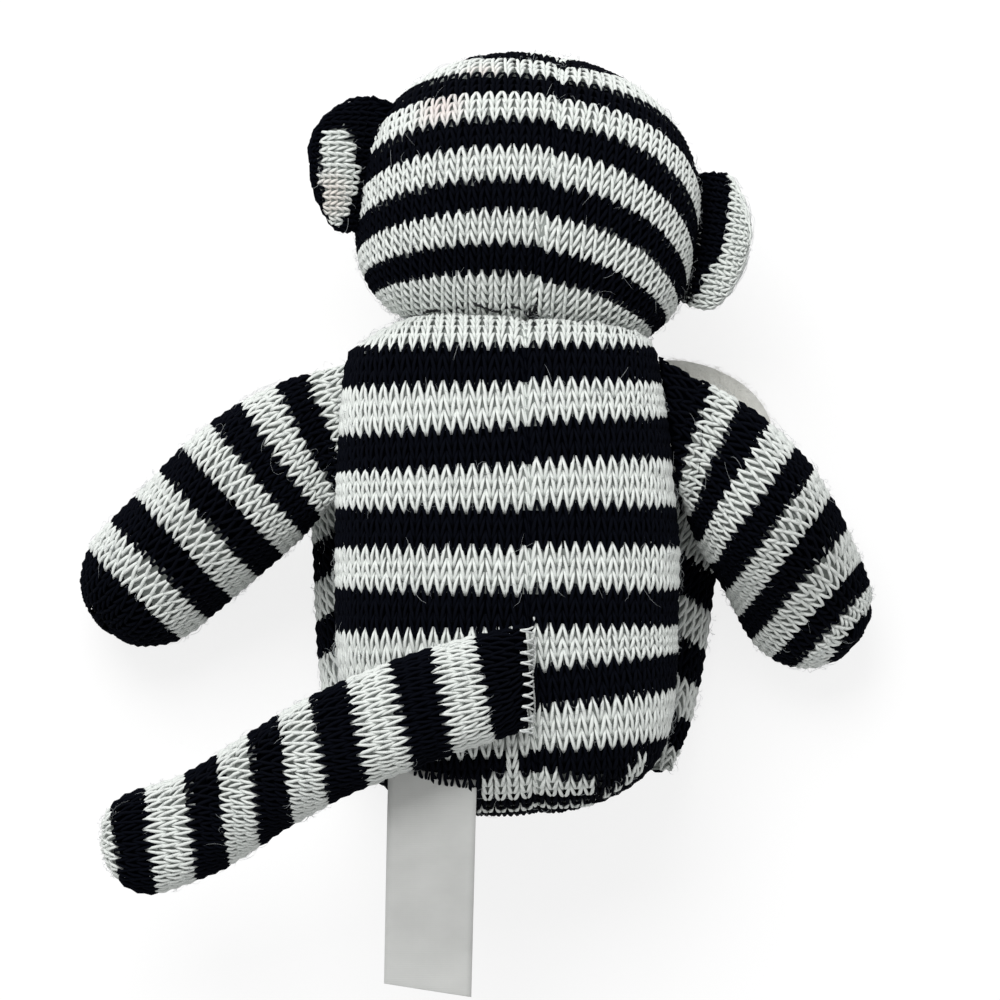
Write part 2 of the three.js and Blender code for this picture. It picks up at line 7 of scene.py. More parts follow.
import bpy
import numpy as np
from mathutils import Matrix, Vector


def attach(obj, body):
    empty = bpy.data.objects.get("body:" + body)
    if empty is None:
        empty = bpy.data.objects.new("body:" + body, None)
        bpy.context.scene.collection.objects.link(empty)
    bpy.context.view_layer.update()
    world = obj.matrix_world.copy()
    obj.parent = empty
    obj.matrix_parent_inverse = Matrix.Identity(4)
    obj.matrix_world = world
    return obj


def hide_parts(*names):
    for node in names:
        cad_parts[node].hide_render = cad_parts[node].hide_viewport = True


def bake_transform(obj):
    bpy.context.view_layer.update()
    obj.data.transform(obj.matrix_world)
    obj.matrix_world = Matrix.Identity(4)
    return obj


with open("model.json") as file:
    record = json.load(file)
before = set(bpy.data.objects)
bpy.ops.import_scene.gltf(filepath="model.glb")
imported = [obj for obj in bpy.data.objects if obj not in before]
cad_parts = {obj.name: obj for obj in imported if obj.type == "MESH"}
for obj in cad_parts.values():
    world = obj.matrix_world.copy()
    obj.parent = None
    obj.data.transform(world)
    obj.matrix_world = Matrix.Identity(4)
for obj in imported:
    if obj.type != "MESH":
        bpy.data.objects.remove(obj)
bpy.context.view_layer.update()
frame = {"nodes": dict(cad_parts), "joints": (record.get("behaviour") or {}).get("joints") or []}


# Torso cover. Two back panels and a belly panel of jersey, sewn along the sides and down the middle
# of the back, and closed at the base by a small panel of its own. Each stitch is modelled: a loop of
# wool whose two legs come up out of the stitch below and go under the stitch above.
doll_shift = 0.0067
up = np.array([0.0, 0.0, 1.0])
torso_width, torso_depth, torso_length, torso_lift = 0.070, 0.052, 0.1018, 0.044
torso_base_y, torso_base_round, torso_shoulder_round = -0.0584, 0.018, 0.012
torso_course, torso_wale = 0.00273, 0.00256
back_seam = 0.0034
# a form's rings have this many points, and its cloth is held on a grid of this pitch
ring_points, cloth_step = 120, 0.0005
quarter = ring_points // 4
# the least height of wool, of a lining and of a fibre's path over the table
wool_lift, lining_lift, fibre_lift = 0.0001, 0.0005, 0.0002
fibres_a_stitch = 1.5
# the head that the shoulders hold, and the camera straight above
head_width, head_height, head_depth = 0.069, 0.059, 0.055
head_tilt = math.radians(8)
head_centre = np.array([0.0038 + doll_shift, 0.0653, 0.0395])
head_up = np.array([math.sin(head_tilt), math.cos(head_tilt), 0])
head_side = np.array([math.cos(head_tilt), -math.sin(head_tilt), 0])
plan_height, plan_width, lens, sensor = 0.05, 0.2, 250, 36
camera_place = np.array([0.0045, 0.0048, plan_height + plan_width * lens / sensor])


def unit(vectors, least=0.0):
    """Vectors brought to a length of one."""
    return vectors / np.maximum(np.linalg.norm(vectors, axis=-1), least)[..., None]


def points_at(at, spots, line):
    """The points of a line at places along it."""
    return np.column_stack([np.interp(at, spots, line[:, i]) for i in range(3)])


def smooth_path(points, count=600):
    """A curve through the points, as evenly spaced places and the curve's direction at each."""
    p = np.array(points, float)
    p = np.vstack([2 * p[0] - p[1], p, 2 * p[-1] - p[-2]])
    pieces = []
    for i in range(1, len(p) - 2):
        chords = np.linalg.norm(np.diff(p[i - 1:i + 3], axis=0), axis=1)
        knots = np.concatenate([[0], np.cumsum(np.sqrt(chords))])
        t = np.linspace(knots[1], knots[2], 80, endpoint=i == len(p) - 3)[:, None]

        def mix(a, b, low, high):
            span = knots[high] - knots[low]
            return (knots[high] - t) / span * a + (t - knots[low]) / span * b

        first = mix(p[i - 1], p[i], 0, 1), mix(p[i], p[i + 1], 1, 2), mix(p[i + 1], p[i + 2], 2, 3)
        second = mix(first[0], first[1], 0, 2), mix(first[1], first[2], 1, 3)
        pieces.append(mix(second[0], second[1], 1, 2))
    line = np.vstack(pieces)
    reach = np.concatenate([[0], np.cumsum(np.linalg.norm(np.diff(line, axis=0), axis=1))])
    even = np.linspace(0, reach[-1], count)
    line = points_at(even, reach, line)
    return even, line, unit(np.gradient(line, axis=0))


def dome(distance, reach, fullness):
    """How far a domed end has filled out at a distance from its pole."""
    x = np.clip(1 - np.asarray(distance) / reach, 0, 1)
    return (1 - x ** fullness) ** (1 / fullness)


def share_at(shares, position):
    """The value between evenly spaced shares."""
    spots, line, _ = smooth_path([(i / (len(shares) - 1), s, 0) for i, s in enumerate(shares)], 200)
    return np.interp(np.clip(position, 0, 1), line[:, 0], line[:, 1])


def stuffed_rings(path, places, halves, squareness, seam=None, seam_reach=1.0):
    """Rings of points round a stuffed form, evenly spaced along its skin from pole to pole. The first
    rings lie along the seam, if there is one."""
    even, line, along = path
    centre, forward = points_at(places, even, line), points_at(places, even, along)
    across = unit(np.cross(forward, up))
    if seam is not None:
        same_way = np.sign(across @ seam)[:, None] * seam
        share = np.clip(1 - places / seam_reach, 0, 1)[:, None]
        across = unit(across * (1 - share) + same_way * share)
    over = unit(np.cross(across, forward))
    angle = np.linspace(0, 2 * np.pi, ring_points, endpoint=False)
    wide, deep = (np.sign(x) * np.abs(x) ** (2 / squareness) for x in (np.cos(angle), np.sin(angle)))
    rings = (centre[:, None, :] + across[:, None, :] * (halves[:, 0, None] * wide)[:, :, None]
             + over[:, None, :] * (halves[:, 1, None] * deep)[:, :, None])
    step = np.linalg.norm(np.diff(rings, axis=0), axis=2).mean(axis=1)
    reach = np.concatenate([[0], np.cumsum(step)])
    wanted = np.linspace(0, reach[-1], max(8, int(round(reach[-1] / cloth_step))) + 1)
    spot = np.interp(wanted, reach, np.arange(len(reach)))
    low = np.minimum(spot.astype(int), len(rings) - 2)
    part = (spot - low)[:, None, None]
    return rings[low] * (1 - part) + rings[low + 1] * part, wanted


def outward(rings, middle):
    """The directions out of a skin of rings, each as long as the patch of skin is large."""
    out = np.cross(np.roll(rings, -1, axis=1) - np.roll(rings, 1, axis=1), np.gradient(rings, axis=0))
    return -out if np.sum(out * (rings - middle)) < 0 else out


def lay_fabric(rings, spots, start):
    """The skin of a form as a cloth: its places and outward directions over (across, along), where
    across is measured round the form from the ring point number start."""
    rings = np.roll(rings[:, ::-1], start + 1 - ring_points, axis=1)
    out = unit(outward(rings, rings.mean(axis=1, keepdims=True)), 1e-12)
    closed, closed_out = (np.concatenate([grid, grid[:, :1]], axis=1) for grid in (rings, out))
    arc = np.concatenate([np.zeros((len(rings), 1)),
                          np.cumsum(np.linalg.norm(np.diff(closed, axis=1), axis=2), axis=1)], axis=1)
    zero = int(arc[:, -1].max() / cloth_step / 2) + 2
    reach = np.arange(-zero, zero + 1) * cloth_step
    place, normal = np.empty((2, len(rings), len(reach), 3))
    for i, girth in enumerate(arc[:, -1]):
        at = np.where(reach < 0, np.maximum(reach, -girth / 2) + girth, np.minimum(reach, girth / 2))
        place[i], normal[i] = points_at(at, arc[i], closed[i]), points_at(at, arc[i], closed_out[i])
    return {"place": place, "normal": normal, "zero": zero, "spots": spots, "half": arc[:, -1] / 2,
            "rings": rings, "out": out, "arc": arc}


def grid_value(fabric, grid, across, along):
    """The value of a grid over a cloth, at places of the cloth."""
    i = np.clip(along / (fabric["spots"][1] - fabric["spots"][0]), 0, len(grid) - 1.001)
    j = np.clip(across / cloth_step + fabric["zero"], 0, grid.shape[1] - 1.001)
    i0, j0 = i.astype(int), j.astype(int)
    fi, fj = i - i0, j - j0
    if grid.ndim == 3:
        fi, fj = fi[:, None], fj[:, None]
    return ((grid[i0, j0] * (1 - fi) + grid[i0 + 1, j0] * fi) * (1 - fj)
            + (grid[i0, j0 + 1] * (1 - fi) + grid[i0 + 1, j0 + 1] * fi) * fj)


def on_fabric(fabric, across, along, lift=0.0):
    """Points that stand a little off the cloth, and the cloth's direction there."""
    place, normal = (grid_value(fabric, fabric[grid], across, along) for grid in ("place", "normal"))
    normal = unit(normal, 1e-9)
    return place + normal * np.reshape(lift, (-1, 1)), normal


def seen_from_above(points):
    """Where points lie on the plan, which is 50 mm above the table, as the camera sees them."""
    reach = (camera_place[2] - plan_height) / (camera_place[2] - points[..., 2])
    return camera_place[:2] + (points[..., :2] - camera_place[:2]) * reach[..., None]


def along_near(fabric, across, x, y):
    """How far along a cloth the place nearest to a spot on the plan lies, on a line at a fixed across
    or, where across is None, on the form's middle line."""
    if across is None:
        line = fabric["rings"].mean(axis=1)
    else:
        line = fabric["place"][:, int(round(across / cloth_step)) + fabric["zero"]]
    top = line[:, 2] > np.quantile(line[:, 2], 0.1) - 0.001
    away = np.linalg.norm(seen_from_above(line) - (x, y), axis=1) + np.where(top, 0, 1)
    return fabric["spots"][int(np.argmin(away))]


def slanted_rows(fabric, marks, headings, course):
    """The course number at each place of a limb's cloth, for rows that stand upright across the limb and
    run towards the headings, one for each mark. A mark is a white band's middle on the plan and its
    course number; between marks the rows are spread evenly."""
    spots, rings = fabric["spots"], fabric["rings"]
    middle = rings.mean(axis=1)[:, :2]
    beyond = np.arange(1, 61)[:, None] * cloth_step
    line = np.vstack([middle[0] + (unit(middle[0] - middle[6]) * beyond)[::-1], middle,
                      middle[-1] + unit(middle[-1] - middle[-7]) * beyond])
    reach = np.concatenate([-beyond[::-1, 0], spots, spots[-1] + beyond[:, 0]])
    at = np.array([along_near(fabric, None, *mark[:2]) for mark in marks])
    heading = np.radians(np.interp(reach, at, headings))
    ahead = np.column_stack([np.cos(heading), np.sin(heading)])

    def crossing(points):
        """Where on the middle line the row through each point crosses it."""
        away = points @ ahead.T - np.sum(line * ahead, axis=1)
        k = np.clip(np.argmin(np.abs(away), axis=1), 1, len(reach) - 2)
        n = np.arange(len(points))
        slope = (away[n, k + 1] - away[n, k - 1]) / (reach[k + 1] - reach[k - 1])
        return reach[k] - away[n, k] / np.where(np.abs(slope) < 0.2, -0.2, slope)

    at = crossing(np.array([mark[:2] for mark in marks]))
    number = np.array([mark[2] for mark in marks], float)
    at = np.concatenate([[at[0] - 20 * course], at, [at[-1] + 20 * course]])
    number = np.concatenate([[number[0] - 20], number, [number[-1] + 20]])
    plan = fabric["place"][..., :2].reshape(-1, 2)
    rows = np.interp(crossing(plan), at, number).reshape(fabric["place"].shape[:2])
    # under the tip they follow the rings round it
    depth = rings[..., 2]
    thick = np.maximum(np.ptp(depth, axis=1), 1e-4)[:, None]
    under = np.clip((depth.mean(axis=1)[:, None] - fabric["place"][..., 2]) * 3 / thick, 0, 1)
    near = np.clip((spots - spots[-1] + 0.022) / 0.010, 0, 1)[:, None] * under
    rows = rows * (1 - near) + rows.mean(axis=1, keepdims=True) * near
    # no course is crushed or stretched out of shape
    gap = np.diff(spots)[:, None]
    rise = np.clip(np.diff(rows, axis=0) * course / gap, 0.45, 1.9) * gap / course
    start = len(spots) // 2
    fixed = np.concatenate([np.zeros((1, rows.shape[1])), np.cumsum(rise, axis=0)])
    return fixed - fixed[start] + rows[start]


def tube_faces(first, rings, sides):
    """Faces of a tube over rings of points from the point number first on, closed at both ends."""
    faces = []
    for ring in range(first, first + (rings - 1) * sides, sides):
        for a, b in ((ring + k, ring + (k + 1) % sides) for k in range(sides)):
            faces.append((a, b, b + sides, a + sides))
    end = first + (rings - 1) * sides
    return faces + [tuple(first + k for k in reversed(range(sides))), tuple(end + k for k in range(sides))]


def stitch_shape():
    """One knit stitch: two legs, in shares of a wale across and a course along, and metres out."""
    middle = np.array([[0.07, -0.45, -0.00100], [0.13, -0.05, -0.00035], [0.24, 0.46, -0.00008],
                       [0.36, 0.97, -0.00035], [0.43, 1.36, -0.00095]])
    radius = np.array([0.19, 0.35, 0.395, 0.35, 0.19]) * 0.001
    sides = 5
    points, wool, faces = [], [], []
    for side in (1, -1):
        first = len(points)
        for ring, (spot, size) in enumerate(zip(middle, radius)):
            for k in range(sides):
                turn = 2 * math.pi * (k + 0.5) / sides
                points.append((side * (spot[0] + math.cos(turn) * size / torso_wale), spot[1],
                               spot[2] + math.sin(turn) * size * 0.85))
                wool.append((ring / 4, k / sides))
        faces += [face if side < 0 else face[::-1] for face in tube_faces(first, len(middle), sides)]
    return np.array(points), np.array(wool), faces


def is_white(course):
    """Three white courses, then three black ones."""
    return np.mod(np.floor(course), 6) < 3


def white_of(panel, across, along, course):
    """Which places of a panel are white: the stripes, unless the panel says otherwise."""
    return panel["white"](across, along, course) if "white" in panel else is_white(course)


def slanted_stitches(fabric, panel):
    """The places of a panel's stitches on slanted rows, one wale apart along each row, and for each the
    cloth's steps for a metre along its row and for one course square to it."""
    rows, spots, wale, zero = panel["rows"], fabric["spots"], panel["wale"], fabric["zero"]
    reach = (np.arange(rows.shape[1]) - zero) * cloth_step
    found = []
    shift, before = 0.0, None
    for number in range(int(rows.min()), int(rows.max()) + 1):
        curve = np.array([np.interp(number + 0.5, rows[:, j], spots) for j in range(rows.shape[1])])
        inside = (rows[0] < number + 0.5) & (rows[-1] > number + 0.5)
        if not inside.any():
            continue
        line = on_fabric(fabric, reach, curve)[0]
        steps = np.maximum(np.linalg.norm(np.diff(line, axis=0), axis=1), 1e-7)
        length = np.concatenate([[0], np.cumsum(steps)])
        length -= length[zero]
        # each row starts where the row before it did, along a line square to both
        way = line[zero + 2] - line[zero - 2]
        if before is not None:
            shift += (line[zero] - before) @ way / np.linalg.norm(way)
        before = line[zero]
        first, last = int((length[0] + shift) / wale) - 1, int((length[-1] + shift) / wale) + 1
        target = (np.arange(first, last + 1) + 0.5) * wale - shift
        target = target[(target > length[0]) & (target < length[-1])]
        across = np.interp(target, length, reach)
        keep = np.interp(across, reach, inside.astype(float)) > 0.5
        found.append(np.column_stack([across, np.interp(across, reach, curve), np.full(len(across), number),
                                      np.interp(across, reach, np.gradient(curve, reach))])[keep])
    across, along, number, slope = np.vstack(found).T
    tiny = 0.0006
    right, out = on_fabric(fabric, across + tiny, along)
    a_way = (right - on_fabric(fabric, across - tiny, along)[0]) / (2 * tiny)
    v_way = (on_fabric(fabric, across, along + tiny)[0]
             - on_fabric(fabric, across, along - tiny)[0]) / (2 * tiny)
    row_way = a_way + slope[:, None] * v_way
    size = np.maximum(np.linalg.norm(row_way, axis=1), 1e-3)
    square = np.cross(out, row_way / size[:, None])
    square *= np.sign(np.sum(square * v_way, axis=1))[:, None]
    # the direction square to the row, in steps across and along the cloth
    aa, av, vv, sa, sv = (np.sum(x * y, axis=1) for x, y in (
        (a_way, a_way), (a_way, v_way), (v_way, v_way), (square, a_way), (square, v_way)))
    under = np.maximum(aa * vv - av ** 2, 1e-3)
    over_a, over_v = (sa * vv - sv * av) / under, (sv * aa - sa * av) / under
    rate = (grid_value(fabric, rows, across + over_a * tiny, along + over_v * tiny)
            - grid_value(fabric, rows, across - over_a * tiny, along - over_v * tiny)) / (2 * tiny)
    height = 1 / np.clip(rate, 0.6 / panel["course"], 1.7 / panel["course"])
    ways = np.column_stack([1 / size, slope / size, over_a * height, over_v * height])
    return across, along, number, ways, height


def stitch_rows(fabric, panel):
    """The places of a panel's stitches, the course that each belongs to, the cloth's steps along and
    square to its row, and its height."""
    course, wale = panel["course"], panel["wale"]
    length = fabric["spots"][-1]
    if "rows" in panel:
        across, along, number, ways, height = slanted_stitches(fabric, panel)
    else:
        reach = fabric["half"].max() * 2 + length
        p, number = (grid.ravel() for grid in np.meshgrid(
            np.arange(-int(reach / wale), int(reach / wale) + 1) + 0.5,
            np.arange(-int(reach / course), int(reach / course) + 1)))
        ways, height = np.tile([1.0, 0.0, 0.0, course], (len(p), 1)), np.full(len(p), course)
        across, along = panel["from"][0] + p * wale, panel["from"][1] + (number + 0.5) * course
    if "bow" in panel:
        along = along + panel["bow"](across, along)
    low, high = panel["edges"](along, np.interp(along, fabric["spots"], fabric["half"]))
    first, last = panel.get("span", (0, length))
    margin = 0.35 * wale
    keep = (across > low - margin) & (across < high + margin) & (along > first) & (along < last)
    return [values[keep] for values in (across, along, number, low, high, ways, height)]


def course_of(panel, across, along):
    """The course number of a place on a panel."""
    if "rows" in panel:
        return grid_value(panel["fabric"], panel["rows"], across, along)
    if "bow" in panel:
        along = along - panel["bow"](across, along)
    return (along - panel["from"][1]) / panel["course"]


def new_mesh(name, points, faces, materials, kinds=None):
    """A smooth piece in the scene; kinds gives each face the number of its material."""
    mesh = bpy.data.meshes.new(name)
    mesh.from_pydata(points.tolist(), [], faces)
    for material in materials:
        mesh.materials.append(material)
    if kinds is not None:
        mesh.polygons.foreach_set("material_index", np.asarray(kinds, np.int32))
    mesh.polygons.foreach_set("use_smooth", np.ones(len(mesh.polygons), bool))
    mesh.update()
    piece = bpy.data.objects.new(name, mesh)
    bpy.context.scene.collection.objects.link(piece)
    return piece


def face_outward(piece):
    """Turns the faces of a closed piece outward, if they face inward."""
    if sum(face.center.dot(face.normal) * face.area for face in piece.data.polygons) < 0:
        piece.data.flip_normals()
    return piece


def wisps(fabric, panels, dice):
    """Loose fibres that stand off the wool and curl over the stitches beside them."""
    points, faces = [], []
    for panel in panels:
        across, along, course, low, high, _, _ = stitch_rows(fabric, panel)
        white = white_of(panel, across, along, course) & (across > low) & (across < high)
        found = np.flatnonzero(white)
        for i in dice.choice(found, int(len(found) * fibres_a_stitch)) if len(found) else ():
            length = dice.gamma(2.2, 0.0005) * (2.2 if dice.random() < 0.1 else 1) + 0.0005
            turn = dice.uniform(0, 2 * math.pi)
            bend = dice.normal(0, 1.5)
            steps = np.linspace(0, 1, 5)
            heading = turn + bend * steps
            walk = np.column_stack([np.cos(heading), np.sin(heading)]) * length / 4
            walk = np.cumsum(walk, axis=0)
            rise = dice.uniform(0.0001, 0.0009) * np.sin(np.pi * steps * dice.uniform(0.5, 1.0)) + 0.0001
            path, _ = on_fabric(fabric, across[i] + walk[:, 0], along[i] + walk[:, 1], rise)
            path[:, 2] = np.maximum(path[:, 2], fibre_lift)
            forward = np.gradient(path, axis=0)
            side = unit(np.cross(forward, up + 0.01), 1e-9)
            over = unit(np.cross(side, forward), 1e-9)
            thick = dice.uniform(0.000016, 0.000034) * np.array([1, 1, 1, 0.8, 0.4])
            faces += tube_faces(len(points), len(path), 3)
            for at, a, b, size in zip(path, side, over, thick):
                points += [at + a * size, at + (b - a) * size * 0.7, at - (b + a) * size * 0.7]
    return np.array(points).reshape(-1, 3), faces


def knit(name, fabric, panels, seed):
    """Stitches all over a form's panels, as one piece in white and black wool, with loose fibres."""
    dice = np.random.default_rng(seed)
    shape, wool, faces = stitch_shape()
    all_points, all_white, all_shade = [], [], []
    for panel in panels:
        across, along, course, low, high, ways, height = stitch_rows(fabric, panel)
        count = len(across)
        tilt = dice.normal(0, 0.03, (count, 1))
        across = across + dice.normal(0, 0.02, count) * panel["wale"]
        along = along + dice.normal(0, 0.025, count) * panel["course"]
        swell = 1 + dice.normal(0, 0.05, count)
        s = shape[None, :, 0] * panel["wale"] * swell[:, None]
        t = (shape[None, :, 1] - 0.5) * np.ones((count, 1))
        s, t = s - tilt * t * height[:, None], t + tilt * s / height[:, None]
        a = across[:, None] + s * ways[:, :1] + t * ways[:, 2:3]
        v = along[:, None] + s * ways[:, 1:2] + t * ways[:, 3:]
        n = shape[None, :, 2] + dice.normal(0, 0.00005, count)[:, None] + 0 * a
        # at a seam the wool turns down into it
        for edge, side in ((low, -1), (high, 1)):
            past = side * (a - edge[:, None])
            n = n - 0.0011 * np.exp(-np.clip(-past, 0, None) / 0.0012)
            a = np.where(past > 0, edge[:, None] + side * past * 0.2, a)
            n = np.where(past > 0, n - past * 0.9, n)
        all_white.append(white_of(panel, across, along, course))
        all_points.append(on_fabric(fabric, a.ravel(), v.ravel(), n.ravel())[0])
        all_shade.append(dice.uniform(0, 1, count))
    points, white, shade = np.vstack(all_points), np.concatenate(all_white), np.concatenate(all_shade)
    stride = len(shape)
    all_faces = [tuple(i + k * stride for i in face) for k in range(len(white)) for face in faces]
    hair, hair_faces = wisps(fabric, panels, dice)
    all_faces += [tuple(i + len(points) for i in face) for face in hair_faces]
    points = np.vstack([points, hair])
    points[:, 2] = np.maximum(points[:, 2], wool_lift)
    kind = np.concatenate([np.repeat(white.astype(int), len(faces)), np.full(len(hair_faces), 2)])
    piece = new_mesh(name, points, all_faces, [black_wool, white_wool, loose_fibre], kind)
    # round the strand, along it, and the stitch's own shade
    strand = np.tile(np.column_stack([wool, np.zeros(len(wool))]), (len(white), 1))
    strand[:, 2] = np.repeat(shade, stride)
    strand = np.vstack([strand, np.full((len(hair), 3), 0.5)])
    twist = piece.data.attributes.new("strand", "FLOAT_VECTOR", "POINT")
    twist.data.foreach_set("vector", strand.astype(np.float32).ravel())
    return piece


def rounded_skin(name, rings, poles, materials, kinds=None):
    """A closed smooth skin over rings, with a pole at each end."""
    rows, sides = rings.shape[:2]
    ring = [(k, (k + 1) % sides) for k in range(sides)]
    faces = [(i * sides + k, i * sides + n, (i + 1) * sides + n, (i + 1) * sides + k)
             for i in range(rows - 1) for k, n in ring]
    faces += [(n, k, rows * sides) for k, n in ring]
    faces += [((rows - 1) * sides + k, (rows - 1) * sides + n, rows * sides + 1) for k, n in ring]
    return face_outward(new_mesh(name, np.vstack([rings.reshape(-1, 3), poles]), faces, materials, kinds))


def backing(name, fabric, panels, sink=0.0012, every=3):
    """The loops' backs, seen through the holes: a closed skin just under the stitches, mid-grey in the white
    bands as painted shade.
    """
    rings, out, arc = (fabric[key][::every, :ring_points:2][1:-1] for key in ("rings", "out", "arc"))
    spots, half = (fabric[key][::every][1:-1] for key in ("spots", "half"))
    skin = rings - out * sink
    skin[:, :, 2] = np.maximum(skin[:, :, 2], lining_lift)
    signed = np.where(arc > half[:, None], arc - 2 * half[:, None], arc)
    # where each face lies on the cloth: the rings' faces, then those at the two poles
    sides = skin.shape[1]
    across = np.concatenate([signed[:-1].ravel(), signed[0], signed[-1]])
    along = np.repeat([*(spots[:-1] + spots[1:]) / 2, spots[0], spots[-1]], sides)
    white = np.zeros(len(across), bool)
    for panel in panels:
        low, high = panel["edges"](along, np.interp(along, fabric["spots"], fabric["half"]))
        first, last = panel.get("span", (-1, 10))
        here = (across >= low) & (across <= high) & (along >= first) & (along <= last)
        number = course_of(panel, across, along)
        found = white_of(panel, across, along, np.floor(number))
        white[here] = found[here]
    poles = [fabric["rings"][0].mean(axis=0), fabric["rings"][-1].mean(axis=0)]
    return rounded_skin(name, skin, poles, [black_back, painted_shade_white_back], white.astype(int))


def new_material(name):
    """A material, with a function that sets its shader's inputs and one that adds a node and gives its
    outputs. An input is a value, or another node's output to link to; what else is set has a name."""
    material = bpy.data.materials.new(name)
    material.use_nodes = True
    tree = material.node_tree

    def fill(node, inputs):
        for socket, value in inputs.items():
            if isinstance(value, bpy.types.NodeSocket):
                tree.links.new(value, node.inputs[socket])
            else:
                node.inputs[socket].default_value = value

    def add(kind, inputs, **settings):
        node = tree.nodes.new("ShaderNode" + kind)
        for setting, value in settings.items():
            setattr(node, setting, value)
        fill(node, inputs)
        return node.outputs

    def shade(inputs, node="Principled BSDF"):
        fill(tree.nodes[node], inputs)
        return tree.nodes[node].outputs

    return material, shade, add


def wool_material(name, pale, deep, sheen, rough, stains=()):
    """Soft two-ply wool: a twist along each strand, a little colour change from stitch to stitch, and
    faint stains of a tint, each round a place."""
    material, shade, add = new_material(name)
    strand = add("Attribute", {}, attribute_name="strand")["Vector"]
    stretch = add("VectorMath", {0: strand, 1: (5.0, 9.0, 40.0)}, operation="MULTIPLY")[0]
    fibre = add("TexNoise", {"Vector": stretch, "Scale": 1.6, "Detail": 3.0})["Fac"]
    place = add("TexCoord", {})["Object"]
    haze = add("TexNoise", {"Vector": place, "Scale": 3800.0, "Detail": 2.0})["Fac"]
    weigh = add("Math", {0: fibre, 1: 0.5}, operation="MULTIPLY")[0]
    both = add("Math", {0: haze, 1: 0.6, 2: weigh}, operation="MULTIPLY_ADD")[0]
    colour = add("Mix", {"Factor": both, "A": (*deep, 1), "B": (*pale, 1)}, data_type="RGBA")["Result"]
    for x, y, z, size, tint in stains:
        away = add("VectorMath", {0: place, 1: (x, y, z)}, operation="DISTANCE")["Value"]
        reach = add("MapRange", {"Value": away, "From Min": size, "From Max": size * 0.35, "To Max": 0.6})
        colour = add("Mix", {"Factor": reach["Result"], "A": colour, "B": (*tint, 1)},
                     data_type="RGBA", blend_type="MULTIPLY")["Result"]
    bump = add("Bump", {"Height": both, "Strength": 0.5, "Distance": 0.00025})["Normal"]
    shade({"Base Color": colour, "Normal": bump, "Roughness": rough, "Sheen Weight": sheen,
           "Sheen Roughness": 0.5, "Specular IOR Level": 0.05})
    return material


def backing_material(name, colour):
    """The backs of the loops, a little uneven; for the white wool the colour is a mid-grey, painted shade for
    the holes between the stitches.
    """
    material, shade, add = new_material(name)
    noise = add("TexNoise", {"Vector": add("TexCoord", {})["Object"], "Scale": 900.0})["Fac"]
    ramp = add("Mix", {"Factor": noise, "A": (*[c * 0.6 for c in colour], 1), "B": (*colour, 1)},
               data_type="RGBA")["Result"]
    shade({"Base Color": ramp, "Roughness": 1.0, "Specular IOR Level": 0.0})
    return material


white_wool = wool_material("white_wool", (0.95, 0.98, 0.95), (0.70, 0.74, 0.71), 0.3, 0.9, [
    (-0.0085, 0.0845, 0.060, 0.0075, (1, 0.80, 0.80)), (0.0005, 0.0890, 0.055, 0.0060, (1, 0.86, 0.84)),
    (-0.0290, 0.0655, 0.054, 0.0060, (1, 0.86, 0.82))])
black_wool = wool_material("black_wool", (0.0035, 0.0045, 0.009), (0.0008, 0.001, 0.002), 0.0, 1.0)
loose_fibre = wool_material("loose_fibre", (0.62, 0.65, 0.65), (0.38, 0.41, 0.43), 0.0, 1.0)
# the white loops' backs are painted mid-grey: painted shade for the holes between the white stitches
painted_shade_white_back = backing_material("white_wool_back", (0.40, 0.43, 0.41))
black_back = backing_material("black_wool_back", (0.0008, 0.0012, 0.003))


def whole(along, half):
    """The edges of a panel that goes all round its form."""
    return -half, half


def front_edges(spots, side_reach):
    """The edges of a front panel, from side seam to side seam."""
    def edges(along, half):
        reach = half - np.interp(along, spots, side_reach)
        return -reach, reach
    return edges


def head_halves(rise, height, swell=1.0):
    """Half the width and depth of the head, or of a shape like it, at a level over its foot."""
    return [size / 2 * swell * dome(rise, height / 2, fullness) * dome(height - rise, height / 2, 2.1)
            for size, fullness in ((head_width, 3.3), (head_depth, 2.2))]


sway = [0.03, 0.02, 0, 0, 0, -0.01, -0.01]
torso_path = smooth_path([(doll_shift + torso_width * s, torso_base_y + torso_length * i / 6, torso_lift)
                          for i, s in enumerate(sway)])
torso_reach = torso_path[0][-1]
place = np.concatenate([torso_base_round * (1 - np.cos(np.linspace(0.01, np.pi / 2, 60))),
                        np.linspace(torso_base_round, torso_length - torso_shoulder_round, 140)[1:-1],
                        torso_reach - torso_shoulder_round * (1 - np.cos(np.linspace(np.pi / 2, 0.01, 60)))])
halves = np.column_stack([size / 2 * share_at(shares, place / torso_reach) * dome(place, torso_base_round, 2.6)
                          * dome(torso_reach - place, torso_shoulder_round, fullness)
                          for size, shares, fullness in (
                              (torso_width, [0.84, 0.98, 1, 1, 0.985, 0.93, 0.86], 3),
                              (torso_depth, [0.84, 0.95, 1, 1, 0.98, 0.92, 0.84], 2.6))])
torso_rings, torso_spots = stuffed_rings(torso_path, place, halves, 2.7)
# the shoulders are gathered into a dish in which the head sits: points inside it sink along the
# head's axis to its skin, which is found by halving
dish_height, dish_swell, dish_gap, dish_reach, halvings = 1.04 * head_height, 1.03, 0.0006, 0.045, 24


def in_dish(points, level):
    """Whether points, moved along the head's axis to a level, are inside the dish."""
    rise = np.clip(level + dish_height / 2, 1e-6, dish_height)
    wide, deep = (half + dish_gap for half in head_halves(rise, dish_height, dish_swell))
    return (level > -dish_height / 2) & (
        np.abs((points @ head_side) / wide) ** 2.4 + np.abs(points[:, 2] / deep) ** 2.4 < 1)


flat = torso_rings.reshape(-1, 3) - head_centre
start = flat @ head_up
high, low = start, np.zeros(len(flat)) - dish_reach
for _ in range(halvings):
    middle = (high + low) / 2
    inside = in_dish(flat, middle)
    low, high = np.where(inside, low, middle), np.where(inside, middle, high)
sunk = flat + head_up * np.where(in_dish(flat, start), low - start, 0)[:, None] + head_centre
torso_rings = sunk.reshape(torso_rings.shape)
